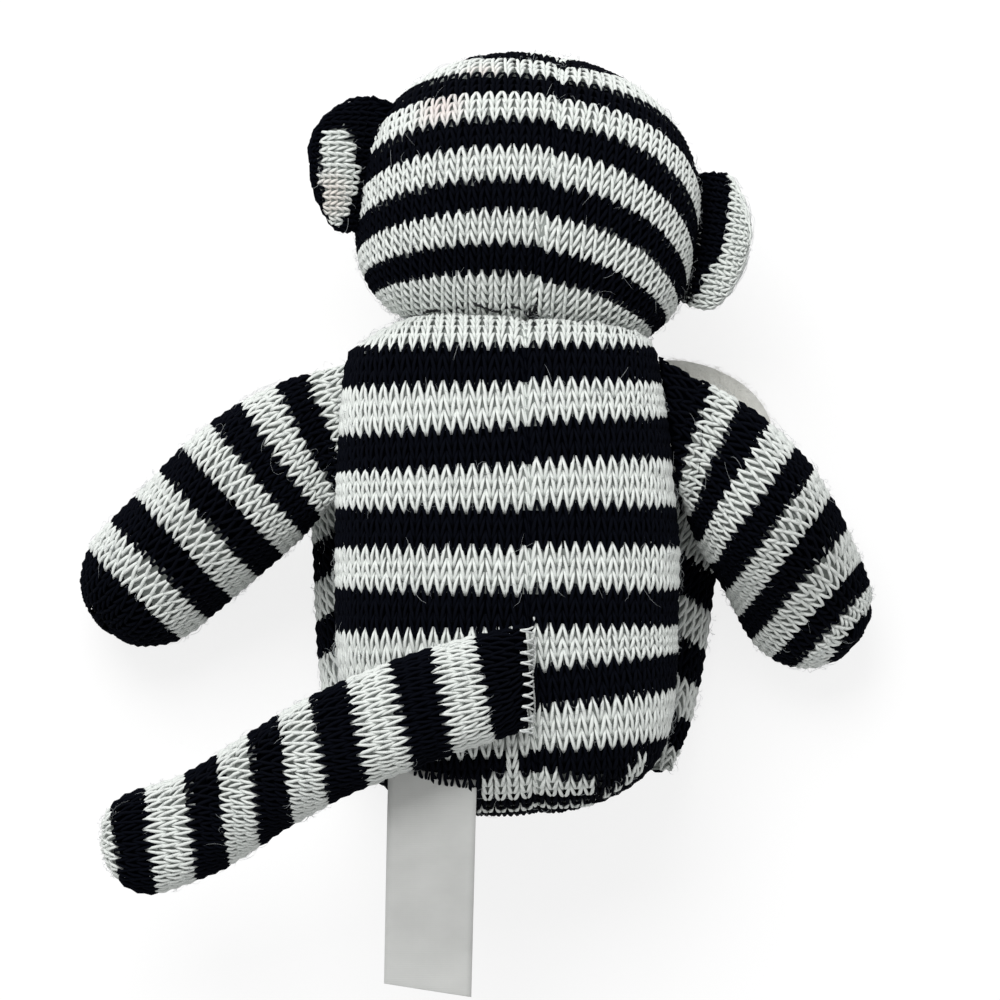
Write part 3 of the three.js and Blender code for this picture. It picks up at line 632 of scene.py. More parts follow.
# it is slimmer on the right, most of all at the shoulder and at the base
level, off = torso_rings[:, :, 1], torso_rings[:, :, 0] - doll_shift
torso_rings[:, :, 0] = doll_shift + off * np.where(
    off > 0, np.interp(level, [-0.056, -0.042, -0.025, -0.004, 0.009, 0.025, 0.038],
                       [0.90, 0.90, 0.955, 0.97, 0.94, 0.955, 0.96]),
    np.interp(level, [-0.05, -0.03, -0.006, 0.01, 0.03, 0.0345, 0.037, 0.041],
              [1.0, 1.0, 1.01, 1.025, 1.03, 1.02, 0.94, 0.85]))
back = lay_fabric(torso_rings, torso_spots, quarter)
side_reach = back["arc"][:, quarter]
band_start, base_line, strip_top, strip_foot, base_rim = (
    along_near(back, 0.0, doll_shift, y) for y in (0.0034, -0.0468, -0.0510, -0.0550, -0.0574))
# the base panel's white edge rises from its foot to its head
edge_left, edge_right, neck_course = 0.0184, 0.0262, 11
edge_foot = along_near(back, edge_left, 0.0251, -0.0556)
edge_head = along_near(back, edge_right, 0.0321, -0.0484)


def torso_bow(across, along):
    """How much further along the cloth a row lies away from its middle: less high up, more low down."""
    lean = np.clip((along - torso_spots[-1] * 0.45) / (torso_spots[-1] * 0.4), -1, 1)
    return -0.0013 * lean * (across / 0.035) ** 2 * np.where(lean < 0, 1, np.where(across < 0, 0.1, 0.6))


def half_of(part):
    """The cloth's edges on one side of the back seam, out to the side seam."""
    def edges(along, half):
        seam, side = np.full_like(along, back_seam), np.interp(along, torso_spots, side_reach)
        return (-side, seam) if part == "left" else (seam, side)
    return edges


def belly_white(across, along, course):
    """Stripes above the base panel, and white at the neck."""
    return (is_white(course) | (course > neck_course)) & (along > base_line)


def torso_white(across, along, course):
    """The same, and on the base panel a short white strip, its join to the stripes and its white edge."""
    narrow = 0.0010 * (across > 0.0085)
    strip = ((across > -0.0078) & (across < 0.0156)
             & (along > strip_foot + narrow) & (along < strip_top - narrow))
    join = (np.abs(across + 0.0010) < 0.0009) & (along > strip_foot) & (along < base_line)
    share = (across - edge_left) / (edge_right - edge_left)
    away = np.abs(along - edge_foot - (edge_head - edge_foot) * share)
    edge = (share > -0.5) & (share < 1.1) & (away < 0.0013 + 0.0012 * share)
    rim = (across > -0.0120) & (across < 0.0175) & (np.abs(along - base_rim) < 0.0013)
    return belly_white(across, along, course) | ((along <= base_line) & (strip | join | edge | rim))


panels = [{"from": (0, band_start + step), "course": torso_course, "wale": torso_wale,
           "edges": half_of(part), "bow": torso_bow, "white": torso_white}
          for part, step in (("left", 0), ("right", 0.0007))]
torso_knit = knit("torso_back_knit", back, panels, 2)
belly = lay_fabric(torso_rings, torso_spots, 3 * quarter)
belly_panel = {"from": (0, band_start), "course": torso_course, "wale": torso_wale, "white": belly_white,
               "edges": front_edges(torso_spots, side_reach)}
belly_knit = knit("torso_belly_knit", belly, [belly_panel], 3)
torso_backing = backing("torso_backing", back, [{**belly_panel, "edges": whole}, *panels])
for piece in (torso_knit, belly_knit):
    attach(piece, "torso")
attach(torso_backing, "torso")
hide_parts("torso_cover", "torso_filling")


# Head cover. Two back panels that meet in a seam over the crown and down the back, their bands
# falling away from it on both sides, and a face panel. It is stuffed firmly and nearly round.
head_course, head_wale, seam_middle = 0.00219, 0.00254, 0.0036
head_path = smooth_path([head_centre - head_up * head_height / 2, head_centre + head_up * head_height / 2])
place = head_height / 2 * (1 - np.cos(np.linspace(0.01, np.pi - 0.01, 240)))
halves = np.column_stack(head_halves(place, head_height))
head_rings, head_spots = stuffed_rings(head_path, place, halves, 2.15)
head = lay_fabric(head_rings, head_spots, quarter)
head_side_reach = head["arc"][:, quarter]
meeting = along_near(head, seam_middle, 0.0145, 0.0590)


def head_seam(along):
    """How far across the back seam lies, which leans to the left as it comes down from the crown."""
    return np.interp(along, np.array([0.0, 0.3, 0.55, 0.75, 1.0]) * head_spots[-1],
                     [0.0050, 0.0030, seam_middle, 0.0030, 0.0018])


def arched_rows(fabric, start, seam, slope, arch, course):
    """Course numbers of a panel whose bands fall away from a seam, more steeply the further they go."""
    reach = np.abs((np.arange(fabric["place"].shape[1]) - fabric["zero"]) * cloth_step - seam)
    fall = slope * reach + arch * reach ** 2
    return (fabric["spots"][:, None] + fall[None, :] - start) / course + 1.5


def head_white(across, along, course):
    """Below the last black band the cloth is white down to the neck."""
    return is_white(course) | (course < -3)


head_panels = [{"course": head_course, "wale": head_wale, "fabric": head, "white": head_white, "edges": edges,
                "rows": arched_rows(head, start, seam_middle, slope, arch, head_course)}
               for edges, start, slope, arch in (
                   (lambda along, half: (-np.interp(along, head_spots, head_side_reach), head_seam(along)),
                    meeting, 0.06, 4.8),
                   (lambda along, half: (head_seam(along), np.interp(along, head_spots, head_side_reach)),
                    meeting - 0.0010, -0.03, 10.0))]
head_knit = knit("head_back_knit", head, head_panels, 4)
face = lay_fabric(head_rings, head_spots, 3 * quarter)
face_panel = {"from": (0, head_spots[-1] - 0.0420), "course": head_course, "wale": head_wale,
              "edges": front_edges(head_spots, head_side_reach)}
face_knit = knit("head_face_knit", face, [face_panel], 5)
head_backing = backing("head_backing", head, [{**face_panel, "edges": whole}, *head_panels])
for piece in (head_knit, face_knit, head_backing):
    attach(piece, "head")
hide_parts("head_cover", "head_filling")


# Arms. Knit tubes sewn shut at the tip, stuffed, with the bands round them and a seam along the
# edge towards the feet. Each is pinched flat where it is sewn into the torso's side seam.
root_radius = 0.003
arm_length, arm_thickness, arm_swell, arm_tip_round = 0.068, 0.0288, 0.017, 0.015
arm_course, arm_wale = 0.00262, 0.00262


def lay_out(start, length, steps):
    """The points of a line laid out in steps, each a share of the length, a heading and a dip."""
    points = [np.array(start, float)]
    for part, heading, dip in steps:
        heading, dip = math.radians(heading), math.radians(dip)
        flat = part * length * math.cos(dip)
        points.append(points[-1] + [flat * math.cos(heading), flat * math.sin(heading),
                                    -part * length * math.sin(dip)])
    return points


def limb_rings(centre, seam, length, steps, width, depth, shares, swell, tip, root=root_radius, tuck=0.0):
    """Rings of a limb from the rolled edge at its root to its domed tip. A tuck is cloth that goes on
    into the seam."""
    centre = np.array(centre)
    start = centre + unit(centre - lay_out(centre, length, steps)[1]) * (root + tuck)
    whole_length = length + root + tuck
    if tuck:
        extra = root + tuck
        steps = [((part * length + extra * (i == 0)) / whole_length, *way)
                 for i, (part, *way) in enumerate(steps)]
    path = smooth_path(lay_out(start, whole_length, steps))
    full = path[0][-1]
    place = np.concatenate([root * np.linspace(0.02, 1, 12)[:-1], np.linspace(root, full - tip, 200),
                            full - tip * (1 - np.cos(np.linspace(np.pi / 2, 0.02, 60)))[1:]])
    cap, past = place - root, place - root - tuck
    deep = np.where(cap < 0, np.sqrt(np.clip(root ** 2 - cap ** 2, 0, None)),
                    root + (depth / 2 - root) * dome(np.clip(past, 0, None), swell, 1.5))
    closing = dome(full - place, tip, 2.2)
    halves = np.column_stack([width / 2 * share_at(shares, place / full) * closing, deep * closing])
    return stuffed_rings(path, place, halves, 2.1, np.array(seam), 2 * swell)


def band_marks(bands):
    """The marks of a limb's white bands, whose middles lie six courses apart."""
    return [(*band, 6 * k + 1.5) for k, band in enumerate(bands)]


def sleeve_white(left, last):
    """Stripes between the root and the last band; the left arm's first band goes on to its root."""
    def white(across, along, course):
        started = np.where(left & (course < 3), course > -2, is_white(course) & (course > -1))
        return started & (course < 6 * last + 3)
    return white


record_joints = {joint["name"]: joint for joint in frame["joints"]}
arms = {
    "left": {"steps": [(0.25, 211, 26), (0.4, 221, 33), (0.35, 222, 27)], "edge": 2 * quarter, "last": 4,
             "bands": [(-0.0287, 0.0246), (-0.0371, 0.0148), (-0.0463, 0.0060), (-0.0572, -0.0028),
                       (-0.0669, -0.0130)],
             "headings": (196, 213, 223, 223, 226), "place": (-0.0002, 0.0006), "tuck": 0.0035,
             "widths": [0.90, 1.02, 1.05, 1.04, 1.01, 0.98, 0.93]},
    "right": {"steps": [(0.28, -45, 26), (0.37, -59, 42), (0.28, -66, 36)], "edge": 0, "last": 9,
              "bands": [(0.0447, 0.0144), (0.0535, 0.0066), (0.0621, -0.0025), (0.0685, -0.0142)],
              "headings": (-24, -37, -35, -42), "place": (-0.0001, 0.0014), "tuck": 0.0062,
              "widths": [0.84, 0.93, 0.98, 0.99, 0.98, 0.96, 0.94]},
}
for side, arm in arms.items():
    joint = record_joints[f"{side}_arm_lift"]
    seam_line = np.array(joint["axis"])
    seam_line = seam_line * np.sign(seam_line[1])
    root_place = np.array(joint["pos_m"]) + (*arm["place"], 0)
    rings, spots = limb_rings(root_place, seam_line, arm_length, arm["steps"], arm_thickness, arm_thickness,
                              arm["widths"], arm_swell, arm_tip_round, tuck=arm["tuck"])
    cloth = lay_fabric(rings, spots, arm["edge"])
    panel = {"course": arm_course, "wale": arm_wale, "edges": whole, "span": (0.0005, 10), "fabric": cloth,
             "rows": slanted_rows(cloth, band_marks(arm["bands"]), arm["headings"], arm_course),
             "white": sleeve_white(side == "left", arm["last"])}
    sleeve = knit(f"{side}_arm_knit", cloth, [panel], 10 + len(side))
    lining = backing(f"{side}_arm_backing", cloth, [panel])
    for piece in (sleeve, lining):
        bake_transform(piece)
    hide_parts(f"{side}_arm_cover", f"{side}_arm_filling")


# Legs and feet. Knit tubes folded flat under the belly, each ending in a fleece foot that is sewn
# on round the ankle.
leg_length, leg_width, leg_depth, leg_swell, leg_toe_round = 0.0855, 0.0332, 0.0184, 0.015, 0.013
leg_course, leg_wale, ankle_share, table_press = 0.0026, 0.0024, 0.7, 0.0005
leg_lift, dip_share = 0.0008, 0.3
legs = {"left": {"headings": (104, 98, 93, 96), "turn": 32, "mark": (-0.0316, -0.0150), "aside": -0.0002,
                 "foot_growth": 0.05, "toe_shift": (0, 0)},
        "right": {"headings": (85, 81, 80, 64), "turn": -20, "mark": (0.0450, -0.0207), "aside": 0.0014,
                  "foot_growth": 0.09, "toe_shift": (0.0014, 0.0002)}}


def fleece_material():
    """Short, dense fleece: matted tufts over a warm off-white."""
    material, shade, add = new_material("cream_fleece")
    place = add("TexCoord", {})["Object"]
    tufts = add("TexNoise", {"Vector": place, "Scale": 520.0, "Detail": 5.0, "Roughness": 0.7})["Fac"]
    pile = add("TexNoise", {"Vector": place, "Scale": 2600.0, "Detail": 4.0})["Fac"]
    both = add("Math", {0: pile, 1: 0.6, 2: tufts}, operation="MULTIPLY_ADD")[0]
    colour = add("Mix", {"Factor": both, "A": (0.60, 0.60, 0.54, 1), "B": (0.93, 0.93, 0.87, 1)},
                 data_type="RGBA")["Result"]
    bump = add("Bump", {"Height": both, "Strength": 0.9, "Distance": 0.0007})["Normal"]
    shade({"Base Color": colour, "Normal": bump, "Roughness": 1.0, "Sheen Weight": 0.5,
           "Specular IOR Level": 0.1})
    return material


fleece = fleece_material()


def short_pile(name, rings, count, seed):
    """Short matted fibres that stand off a fleece skin all over, as one piece."""
    dice = np.random.default_rng(seed)
    out = outward(rings, rings.mean(axis=(0, 1)))
    area = np.linalg.norm(out, axis=2)
    found = dice.choice(area.size, count, p=area.ravel() / area.sum())
    start = rings.reshape(-1, 3)[found] + dice.normal(0, 0.0004, (count, 3))
    out = unit(out, 1e-12).reshape(-1, 3)[found]
    flat = unit(np.cross(out, dice.normal(0, 1, (count, 3))))
    side = np.cross(out, flat)
    length, bend = dice.uniform(0.0007, 0.0019, count), dice.normal(0, 0.5, count)
    points = []
    for t, thick in ((0, 1), (0.35, 0.95), (0.7, 0.8), (1, 0.35)):
        middle = start + length[:, None] * (0.8 * t * flat + (bend * t * t)[:, None] * side
                                            + (0.75 * t - 0.45 * t * t - 0.1) * out)
        for a, b in ((1, 0), (-0.5, 0.87), (-0.5, -0.87)):
            points.append(middle + 0.000026 * thick * (a * out + b * side))
    points = np.stack(points, axis=1).reshape(-1, 3)
    points[:, 2] = np.maximum(points[:, 2], wool_lift)
    faces = [face for first in range(0, len(points), 12) for face in tube_faces(first, 4, 3)]
    return new_mesh(name, points, faces, [fleece])


for side, leg in legs.items():
    headings = leg["headings"]
    joint = record_joints[f"{side}_leg_unfold"]
    seam_line = np.array(joint["axis"])
    seam_line = seam_line * np.sign(seam_line[0])
    # it dips from the hip until it lies flat on the table
    drop = joint["pos_m"][2] - (leg_depth / 2 - table_press)
    dip = math.degrees(math.asin(drop / ((leg_length + root_radius) * dip_share - root_radius)))
    steps = list(zip((0.1, 0.2, 0.35, 0.35), headings, (dip, dip, 0, 0)))
    root_place = np.array(joint["pos_m"]) + (leg["aside"], 0, 0)
    rings, spots = limb_rings(root_place, seam_line, leg_length, steps, leg_width, leg_depth,
                              [0.84, 0.95, 1, 1, 1, 0.98, 0.94], leg_swell, leg_toe_round)
    rings[:, :, 2] = np.maximum(rings[:, :, 2], leg_lift)
    cloth = lay_fabric(rings, spots, 2 * quarter)
    ankle = ankle_share * spots[-1]
    panel = {"course": leg_course, "wale": leg_wale, "edges": whole, "span": (0.001, ankle - 0.001),
             "rows": slanted_rows(cloth, band_marks([leg["mark"]]), [headings[2] + leg["turn"]], leg_course),
             "fabric": cloth}
    stocking = knit(f"{side}_leg_knit", cloth, [panel], 20 + len(side))
    lining = backing(f"{side}_leg_backing", cloth, [{**panel, "span": (0, 10)}])
    last = int(np.argmax(spots > ankle))
    foot_rings = rings[last - 2:-1:3, ::2].copy()
    middle = foot_rings.mean(axis=1, keepdims=True)
    rows = len(foot_rings)
    grow = 1 + leg["foot_growth"] * dome(np.arange(rows), rows / 4, 2)[:, None, None]
    foot_rings = middle + (foot_rings - middle) * grow
    foot_rings[:, :, :2] += np.linspace(0, 1, rows)[:, None, None] * np.array(leg["toe_shift"])
    foot_rings[:, :, 2] = np.maximum(foot_rings[:, :, 2], 0.0)
    foot = rounded_skin(f"{side}_foot_fleece", foot_rings, foot_rings[[0, -1]].mean(axis=1), [fleece])
    for piece in (stocking, lining):
        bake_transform(piece)
    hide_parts(f"{side}_leg_cover", f"{side}_leg_filling")
    for piece in (foot, short_pile(f"{side}_foot_pile", foot_rings, 2600, 50 + len(side))):
        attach(piece, f"{side}_leg")
    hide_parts(f"{side}_foot")


# Tail. A slim knit tube whose open end is whip-stitched to the back with white thread.
tail_length, tail_width, tail_depth, tail_swell, tail_tip_round = 0.098, 0.0215, 0.0165, 0.012, 0.010
tail_steps = [(0.2, 196, -8), (0.2, 202, 8), (0.2, 210, 34), (0.2, 212, 34), (0.2, 199, 14)]
tail_course, tail_wale = 0.00282, 0.0022
tail_bands = [(-0.0025, -0.0332), (-0.0195, -0.0382), (-0.0347, -0.0458), (-0.0479, -0.0538),
              (-0.0617, -0.0612)]
tail_headings = (191, 194, 189, 186, 187)
joint = record_joints["tail_lift"]
rings, spots = limb_rings(joint["pos_m"], joint["axis"], tail_length, tail_steps, tail_width, tail_depth,
                          [0.98, 0.99, 0.98, 0.95, 0.93, 0.97, 1], tail_swell, tail_tip_round)
cloth = lay_fabric(rings, spots, quarter)
panel = {"course": tail_course, "wale": tail_wale, "edges": whole, "span": (0.001, 10), "fabric": cloth,
         "rows": slanted_rows(cloth, band_marks(tail_bands), tail_headings, tail_course),
         "white": lambda across, along, course: is_white(course) & (course > -1)}
tail_knit = knit("tail_knit", cloth, [panel], 31)
tail_lining = backing("tail_backing", cloth, [panel])
for piece in (tail_knit, tail_lining):
    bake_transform(piece)
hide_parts("tail_cover", "tail_filling")


# Ears. Small cupped discs of the same knit, sewn flat to the sides of the head. Each is cut lower
# towards the crown than towards the neck.
ear_reach, ear_length, ear_thickness, ear_swell, ear_rim_round = 0.0125, 0.028, 0.005, 0.004, 0.009
ear_root, ear_tuck, ear_course, ear_sink = 0.0009, 0.0035, 0.0022, 0.0006


def left_ear_patch(across, along):
    """The pale oval inside the left ear."""
    return ((across - 0.0030) / 0.0105) ** 2 + ((along - 0.0122) / 0.0056) ** 2 < 1


def right_ear_rim(across, along):
    """The right ear's pale rim."""
    return along > 0.0122 - 0.24 * across - 24 * across ** 2


for side, steps, cut, patch in (("left", [(0.5, 178, -30), (0.5, 184, -38)], 0.55, left_ear_patch),
                                ("right", [(0.5, -12, -40), (0.5, -14, -46)], 0.50, right_ear_rim)):
    joint = record_joints[f"{side}_ear_fold"]
    rings, spots = limb_rings(joint["pos_m"], joint["axis"], ear_reach, steps, ear_length, ear_thickness,
                              [0.94, 0.99, 1, 1, 0.98], ear_swell, ear_rim_round, root=ear_root, tuck=ear_tuck)
    root_place, rim = np.array(joint["pos_m"]), np.array(joint["axis"]) * np.sign(joint["axis"][1])
    rise = np.clip((rings - root_place) @ rim / (ear_length / 2), -1, 1)
    out_way = np.array(lay_out((0, 0, 0), 1, steps)[1])
    out_way = unit(out_way - rim * (out_way @ rim))
    beyond = np.clip((rings - root_place) @ out_way - 0.001, 0, None)
    rings -= (cut * np.clip(rise, 0, 1) ** 1.5 * beyond)[:, :, None] * out_way
    cloth = lay_fabric(rings, spots, quarter)
    # the patches are drawn with across growing towards the neck
    before, after = (cloth["place"][len(spots) // 2, cloth["zero"] + k, 1] for k in (-6, 6))
    panel = {"from": (0, -0.001), "course": ear_course, "wale": ear_course, "edges": whole,
             "span": (0.0005, 10),
             "white": lambda a, v, c, patch=patch, way=1 if after < before else -1: patch(a * way, v)}
    ear = knit(f"{side}_ear_knit", cloth, [panel], 40 + len(side))
    lining = backing(f"{side}_ear_backing", cloth, [panel], ear_sink, 2)
    for piece in (ear, lining):
        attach(piece, f"{side}_ear")
    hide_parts(f"{side}_ear")


# Muzzle. A padded oval of the same fleece as the feet, sewn round its edge to the face, which is
# underneath here. The mouth and the nostrils are long black stitches that pull a groove into it.
muzzle_width, muzzle_height, muzzle_drop, muzzle_round, muzzle_top = 0.038, 0.026, 0.0095, 0.009, 0.0203
mouth_width, mouth_drop, mouth_smile, nostril_gap, nostril_rise = 0.020, 0.0025, 0.0024, 0.006, 0.0045
groove_depth, groove_top, nostril_half = 0.0009, 0.002, 0.0017
around = np.linspace(0, 2 * np.pi, 112, endpoint=False)
heights = np.concatenate([[muzzle_top, 0.015, 0.0115],
                          muzzle_round * (1 - np.sin(np.linspace(0.1, np.pi / 2, 16))) - table_press])
levels = [(z, float(dome(z + table_press, muzzle_round, 2.4))) for z in heights if z > 0]
flat_share = float(dome(table_press, muzzle_round, 2.4))
levels += [(0.0, flat_share * inner) for inner in np.linspace(1, 0.04, 22)]
muzzle_rings = []
for height, share in levels:
    side_way = share * muzzle_width / 2 * np.cos(around)
    rise = share * muzzle_height / 2 * np.sin(around) - muzzle_drop
    smile = -muzzle_drop - mouth_drop - mouth_smile * (1 - (side_way / (mouth_width / 2)) ** 2)
    groove = groove_depth * np.exp(-((rise - smile) / 0.0007) ** 2) * (
        np.abs(side_way) < mouth_width / 2 + 0.0004)
    nostril = groove_depth * np.exp(-((np.abs(side_way) - nostril_gap / 2) / 0.0006) ** 2) * (
        np.abs(rise + muzzle_drop - nostril_rise) < nostril_half)
    lift = np.maximum(groove, nostril) * (height < groove_top)
    muzzle_rings.append(head_centre[None, :] * (1, 1, 0) + side_way[:, None] * head_side
                        + rise[:, None] * head_up + (height + lift)[:, None] * up)
muzzle_rings = np.array(muzzle_rings)
muzzle_pad = rounded_skin("muzzle_fleece", muzzle_rings, muzzle_rings[[0, -1]].mean(axis=1), [fleece])
for piece in (muzzle_pad, short_pile("muzzle_pile", muzzle_rings[:-6], 2200, 57)):
    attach(piece, "head")
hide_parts("muzzle")


def thread_material(name, pale, deep):
    """Twisted sewing thread: slanting plies and a soft gloss."""
    material, shade, add = new_material(name)
    ply = add("TexWave", {"Vector": add("TexCoord", {})["Object"], "Scale": 900.0, "Distortion": 0.6},
              bands_direction="DIAGONAL")["Fac"]
    colour = add("Mix", {"Factor": ply, "A": (*deep, 1), "B": (*pale, 1)}, data_type="RGBA")["Result"]
    bump = add("Bump", {"Height": ply, "Strength": 0.7, "Distance": 0.0001})["Normal"]
    shade({"Base Color": colour, "Normal": bump, "Roughness": 0.6, "Specular IOR Level": 0.25})
    return material


def dress(node, material):
    """Gives one of the frame's own pieces a material."""
    frame["nodes"][node].data.materials.clear()
    frame["nodes"][node].data.materials.append(material)


black_thread = thread_material("black_thread", (0.012, 0.013, 0.016), (0.003, 0.003, 0.004))
white_thread = thread_material("white_thread", (0.90, 0.92, 0.90), (0.55, 0.58, 0.58))
for name in ("mouth_stitch", "left_nostril_stitch", "right_nostril_stitch", "neck_thread"):
    dress(name, black_thread)


# Eyes. Domed black safety eyes, each moulded in one piece with a shank that goes through the face
# and takes a washer inside the head.
eye_radius, eye_height, shank_radius, shank_length, eye_turn = 0.0045, 0.0032, 0.0015, 0.007, math.radians(14)


def moulded_material(name, colour, rough):
    """Moulded plastic with a faint mottle and fine scuffs in its gloss."""
    material, shade, add = new_material(name)
    mottle = add("TexNoise", {"Vector": add("TexCoord", {})["Object"], "Scale": 700.0, "Detail": 5.0})["Fac"]
    tone = add("Mix", {"Factor": mottle, "A": (*[c * 0.8 for c in colour], 1), "B": (*colour, 1)},
               data_type="RGBA")["Result"]
    gloss = add("MapRange", {"Value": mottle, "To Min": rough * 0.7, "To Max": rough * 1.4})["Result"]
    shade({"Base Color": tone, "Roughness": gloss})
    return material


eye_plastic = moulded_material("black_eye_plastic", (0.006, 0.006, 0.007), 0.12)
washer_plastic = moulded_material("washer_plastic", (0.72, 0.72, 0.69), 0.42)
for side, way in (("left", -1), ("right", 1)):
    outward_way = Vector((way * math.sin(eye_turn) * head_side + math.sin(eye_turn) / 2 * head_up
                          - math.cos(eye_turn) * up).tolist()).normalized()
    # the shank's end in the CAD gives the eye's seat
    corners = np.array([v.co for v in frame["nodes"][f"{side}_eye"].data.vertices])
    depth = corners @ np.array(outward_way)
    seat = Vector(corners[depth < depth.min() + 0.0002].mean(axis=0).tolist()) + outward_way * shank_length
    bpy.ops.object.select_all(action="DESELECT")
    bpy.ops.mesh.primitive_uv_sphere_add(segments=48, ring_count=32, radius=eye_radius)
    eye = bpy.context.object
    eye.name = f"{side}_eye_dome"
    bpy.ops.object.mode_set(mode="EDIT")
    bpy.ops.mesh.select_all(action="SELECT")
    bpy.ops.transform.resize(value=(1, 1, eye_height / eye_radius))
    bpy.ops.mesh.select_all(action="SELECT")
    bpy.ops.mesh.bisect(plane_co=(0, 0, 0.0), plane_no=(0, 0, 1), clear_inner=True, use_fill=True)
    bpy.ops.mesh.inset(thickness=eye_radius - shank_radius)
    bpy.ops.mesh.extrude_region_move(TRANSFORM_OT_translate={"value": (0, 0, -shank_length)})
    bpy.ops.mesh.select_all(action="SELECT")
    bpy.ops.mesh.remove_doubles(threshold=0.000005)
    bpy.ops.mesh.normals_make_consistent(inside=False)
    bpy.ops.object.mode_set(mode="OBJECT")
    rim = eye.modifiers.new("rim", "BEVEL")
    rim.width, rim.segments, rim.limit_method, rim.angle_limit = 0.0003, 3, "ANGLE", math.radians(50)
    bpy.ops.object.modifier_apply(modifier="rim")
    bpy.ops.object.shade_smooth_by_angle(angle=math.radians(40))
    eye.rotation_mode = "QUATERNION"
    eye.rotation_quaternion = outward_way.to_track_quat("Z", "Y")
    eye.location = seat
    bpy.ops.object.transform_apply(location=True, rotation=True, scale=True)
    eye.data.materials.append(eye_plastic)
    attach(eye, "head")
    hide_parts(f"{side}_eye")
    dress(f"{side}_eye_washer", washer_plastic)


# Gathering and whip stitches. A black thread gathers the neck and is knotted at the back, where a
# white end sticks out of it, and white stitches hold the tail's open end on the back.
gather_radius, knot_radius, end_radius, whip_radius = 0.00028, 0.00034, 0.00022, 0.00021


def thread_tubes(name, routes, radius, material):
    """Round threads along routes, as one piece."""
    points, faces, sides = [], [], 8
    for route in routes:
        _, line, along = smooth_path(route, max(12, 8 * len(route)))
        side_way = unit(np.cross(along, up + (0.013, 0.007, 0)))
        over = np.cross(side_way, along)
        first = len(points)
        for at, a, b in zip(line, side_way, over):
            points += [at + radius * (a * math.cos(t) + b * math.sin(t))
                       for t in np.linspace(0, 2 * math.pi, sides, endpoint=False)]
        for ring in range(len(line) - 1):
            for k in range(sides):
                a, b = first + ring * sides + k, first + ring * sides + (k + 1) % sides
                faces.append((a, a + sides, b + sides, b))
        faces.append(tuple(first + k for k in range(sides)))
        faces.append(tuple(first + (len(line) - 1) * sides + k for k in reversed(range(sides))))
    return new_mesh(name, np.array(points), faces, [material])


def on_top(pieces, spots, lift):
    """Places just above the pieces' upper side, where the camera sees the spots of the plan."""
    found = []
    for x, y in spots:
        toward = Vector((x - camera_place[0], y - camera_place[1],
                         plan_height - camera_place[2])).normalized()
        nearest = None
        for piece in pieces:
            hit, place, _, _ = piece.ray_cast(Vector(camera_place.tolist()), toward)
            if hit and (nearest is None or place.z > nearest.z):
                nearest = place
        found.append(np.array(nearest - toward * lift))
    return found


gather_spots = [(-0.0142, 0.0414), (-0.0084, 0.0427), (-0.0052, 0.0424), (-0.0039, 0.0433), (-0.0019, 0.0437),
                (0.0003, 0.0437), (0.0022, 0.0430), (0.0039, 0.0425), (0.0057, 0.0433), (0.0079, 0.0433),
                (0.0094, 0.0425), (0.0100, 0.0416), (0.0112, 0.0420)]
neck_pieces = [head_knit, torso_knit, head_backing, torso_backing]
gather_route = on_top(neck_pieces, gather_spots, 0.0001)
gathering = thread_tubes("neck_gathering", [gather_route], gather_radius, black_thread)
knot_middle = on_top(neck_pieces, [(0.0113, 0.0421)], 0.0004)[0]
# a trefoil, with the thread's two ends out of it
knot_routes = [[knot_middle + np.array([0.0007 * math.cos(2 * t) * (1 + 0.45 * math.cos(3 * t)),
                                        0.0009 * math.sin(2 * t) * (1 + 0.45 * math.cos(3 * t)),
                                        0.0004 * math.sin(3 * t)]) for t in np.linspace(0, 2 * math.pi, 25)],
               on_top(neck_pieces, [(0.0112, 0.0424), (0.0119, 0.0444), (0.0121, 0.0462)], 0.0002),
               on_top(neck_pieces, [(0.0113, 0.0417), (0.0112, 0.0404), (0.0114, 0.0396)], 0.0001)]
knot = thread_tubes("neck_knot", knot_routes, knot_radius, black_thread)
end_route = on_top(neck_pieces, [(0.0116, 0.0424), (0.0132, 0.0422), (0.0148, 0.0418)], 0.0004)
loose_end = thread_tubes("neck_thread_end", [end_route], end_radius, white_thread)
for piece in (gathering, knot, loose_end):
    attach(piece, "torso")

whip_count, whip_first, whip_last, back_slope = 10, -0.0208, -0.0400, 0.0827
whip_reach = root_radius + 0.0005
hinge = np.array(record_joints["tail_lift"]["pos_m"])
dice = np.random.default_rng(7)
routes = []
for i in range(whip_count):
    y = whip_first + (whip_last - whip_first) * i / (whip_count - 1) + dice.normal(0, 0.00025)
    tip = dice.uniform(56, 76)
    stitch = []
    # each is a tooth that climbs the tail's rolled edge, from one foot to its tip and down again
    for turn, aside in ((2, -0.00065), (18, -0.00055), (0.6 * tip, -0.0003), (tip, 0.0), (0.6 * tip, 0.0002),
                        (18, 0.0005), (2, 0.0006)):
        height = hinge[2] - (y + aside - hinge[1]) * back_slope
        stitch.append(np.array([hinge[0] + whip_reach * math.cos(math.radians(turn)), y + aside,
                                height + whip_reach * math.sin(math.radians(turn))]))
    routes.append(stitch)
seam_run = [(0.0113 + 0.00015 * math.sin(9 * t), -0.0186 - 0.0212 * t) for t in np.linspace(0, 1, 12)]
routes.append(on_top([torso_knit, torso_backing], seam_run, 0.0001))
whips = thread_tubes("tail_whip_stitches", routes, whip_radius, white_thread)
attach(whips, "torso")
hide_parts("tail_seam_thread")


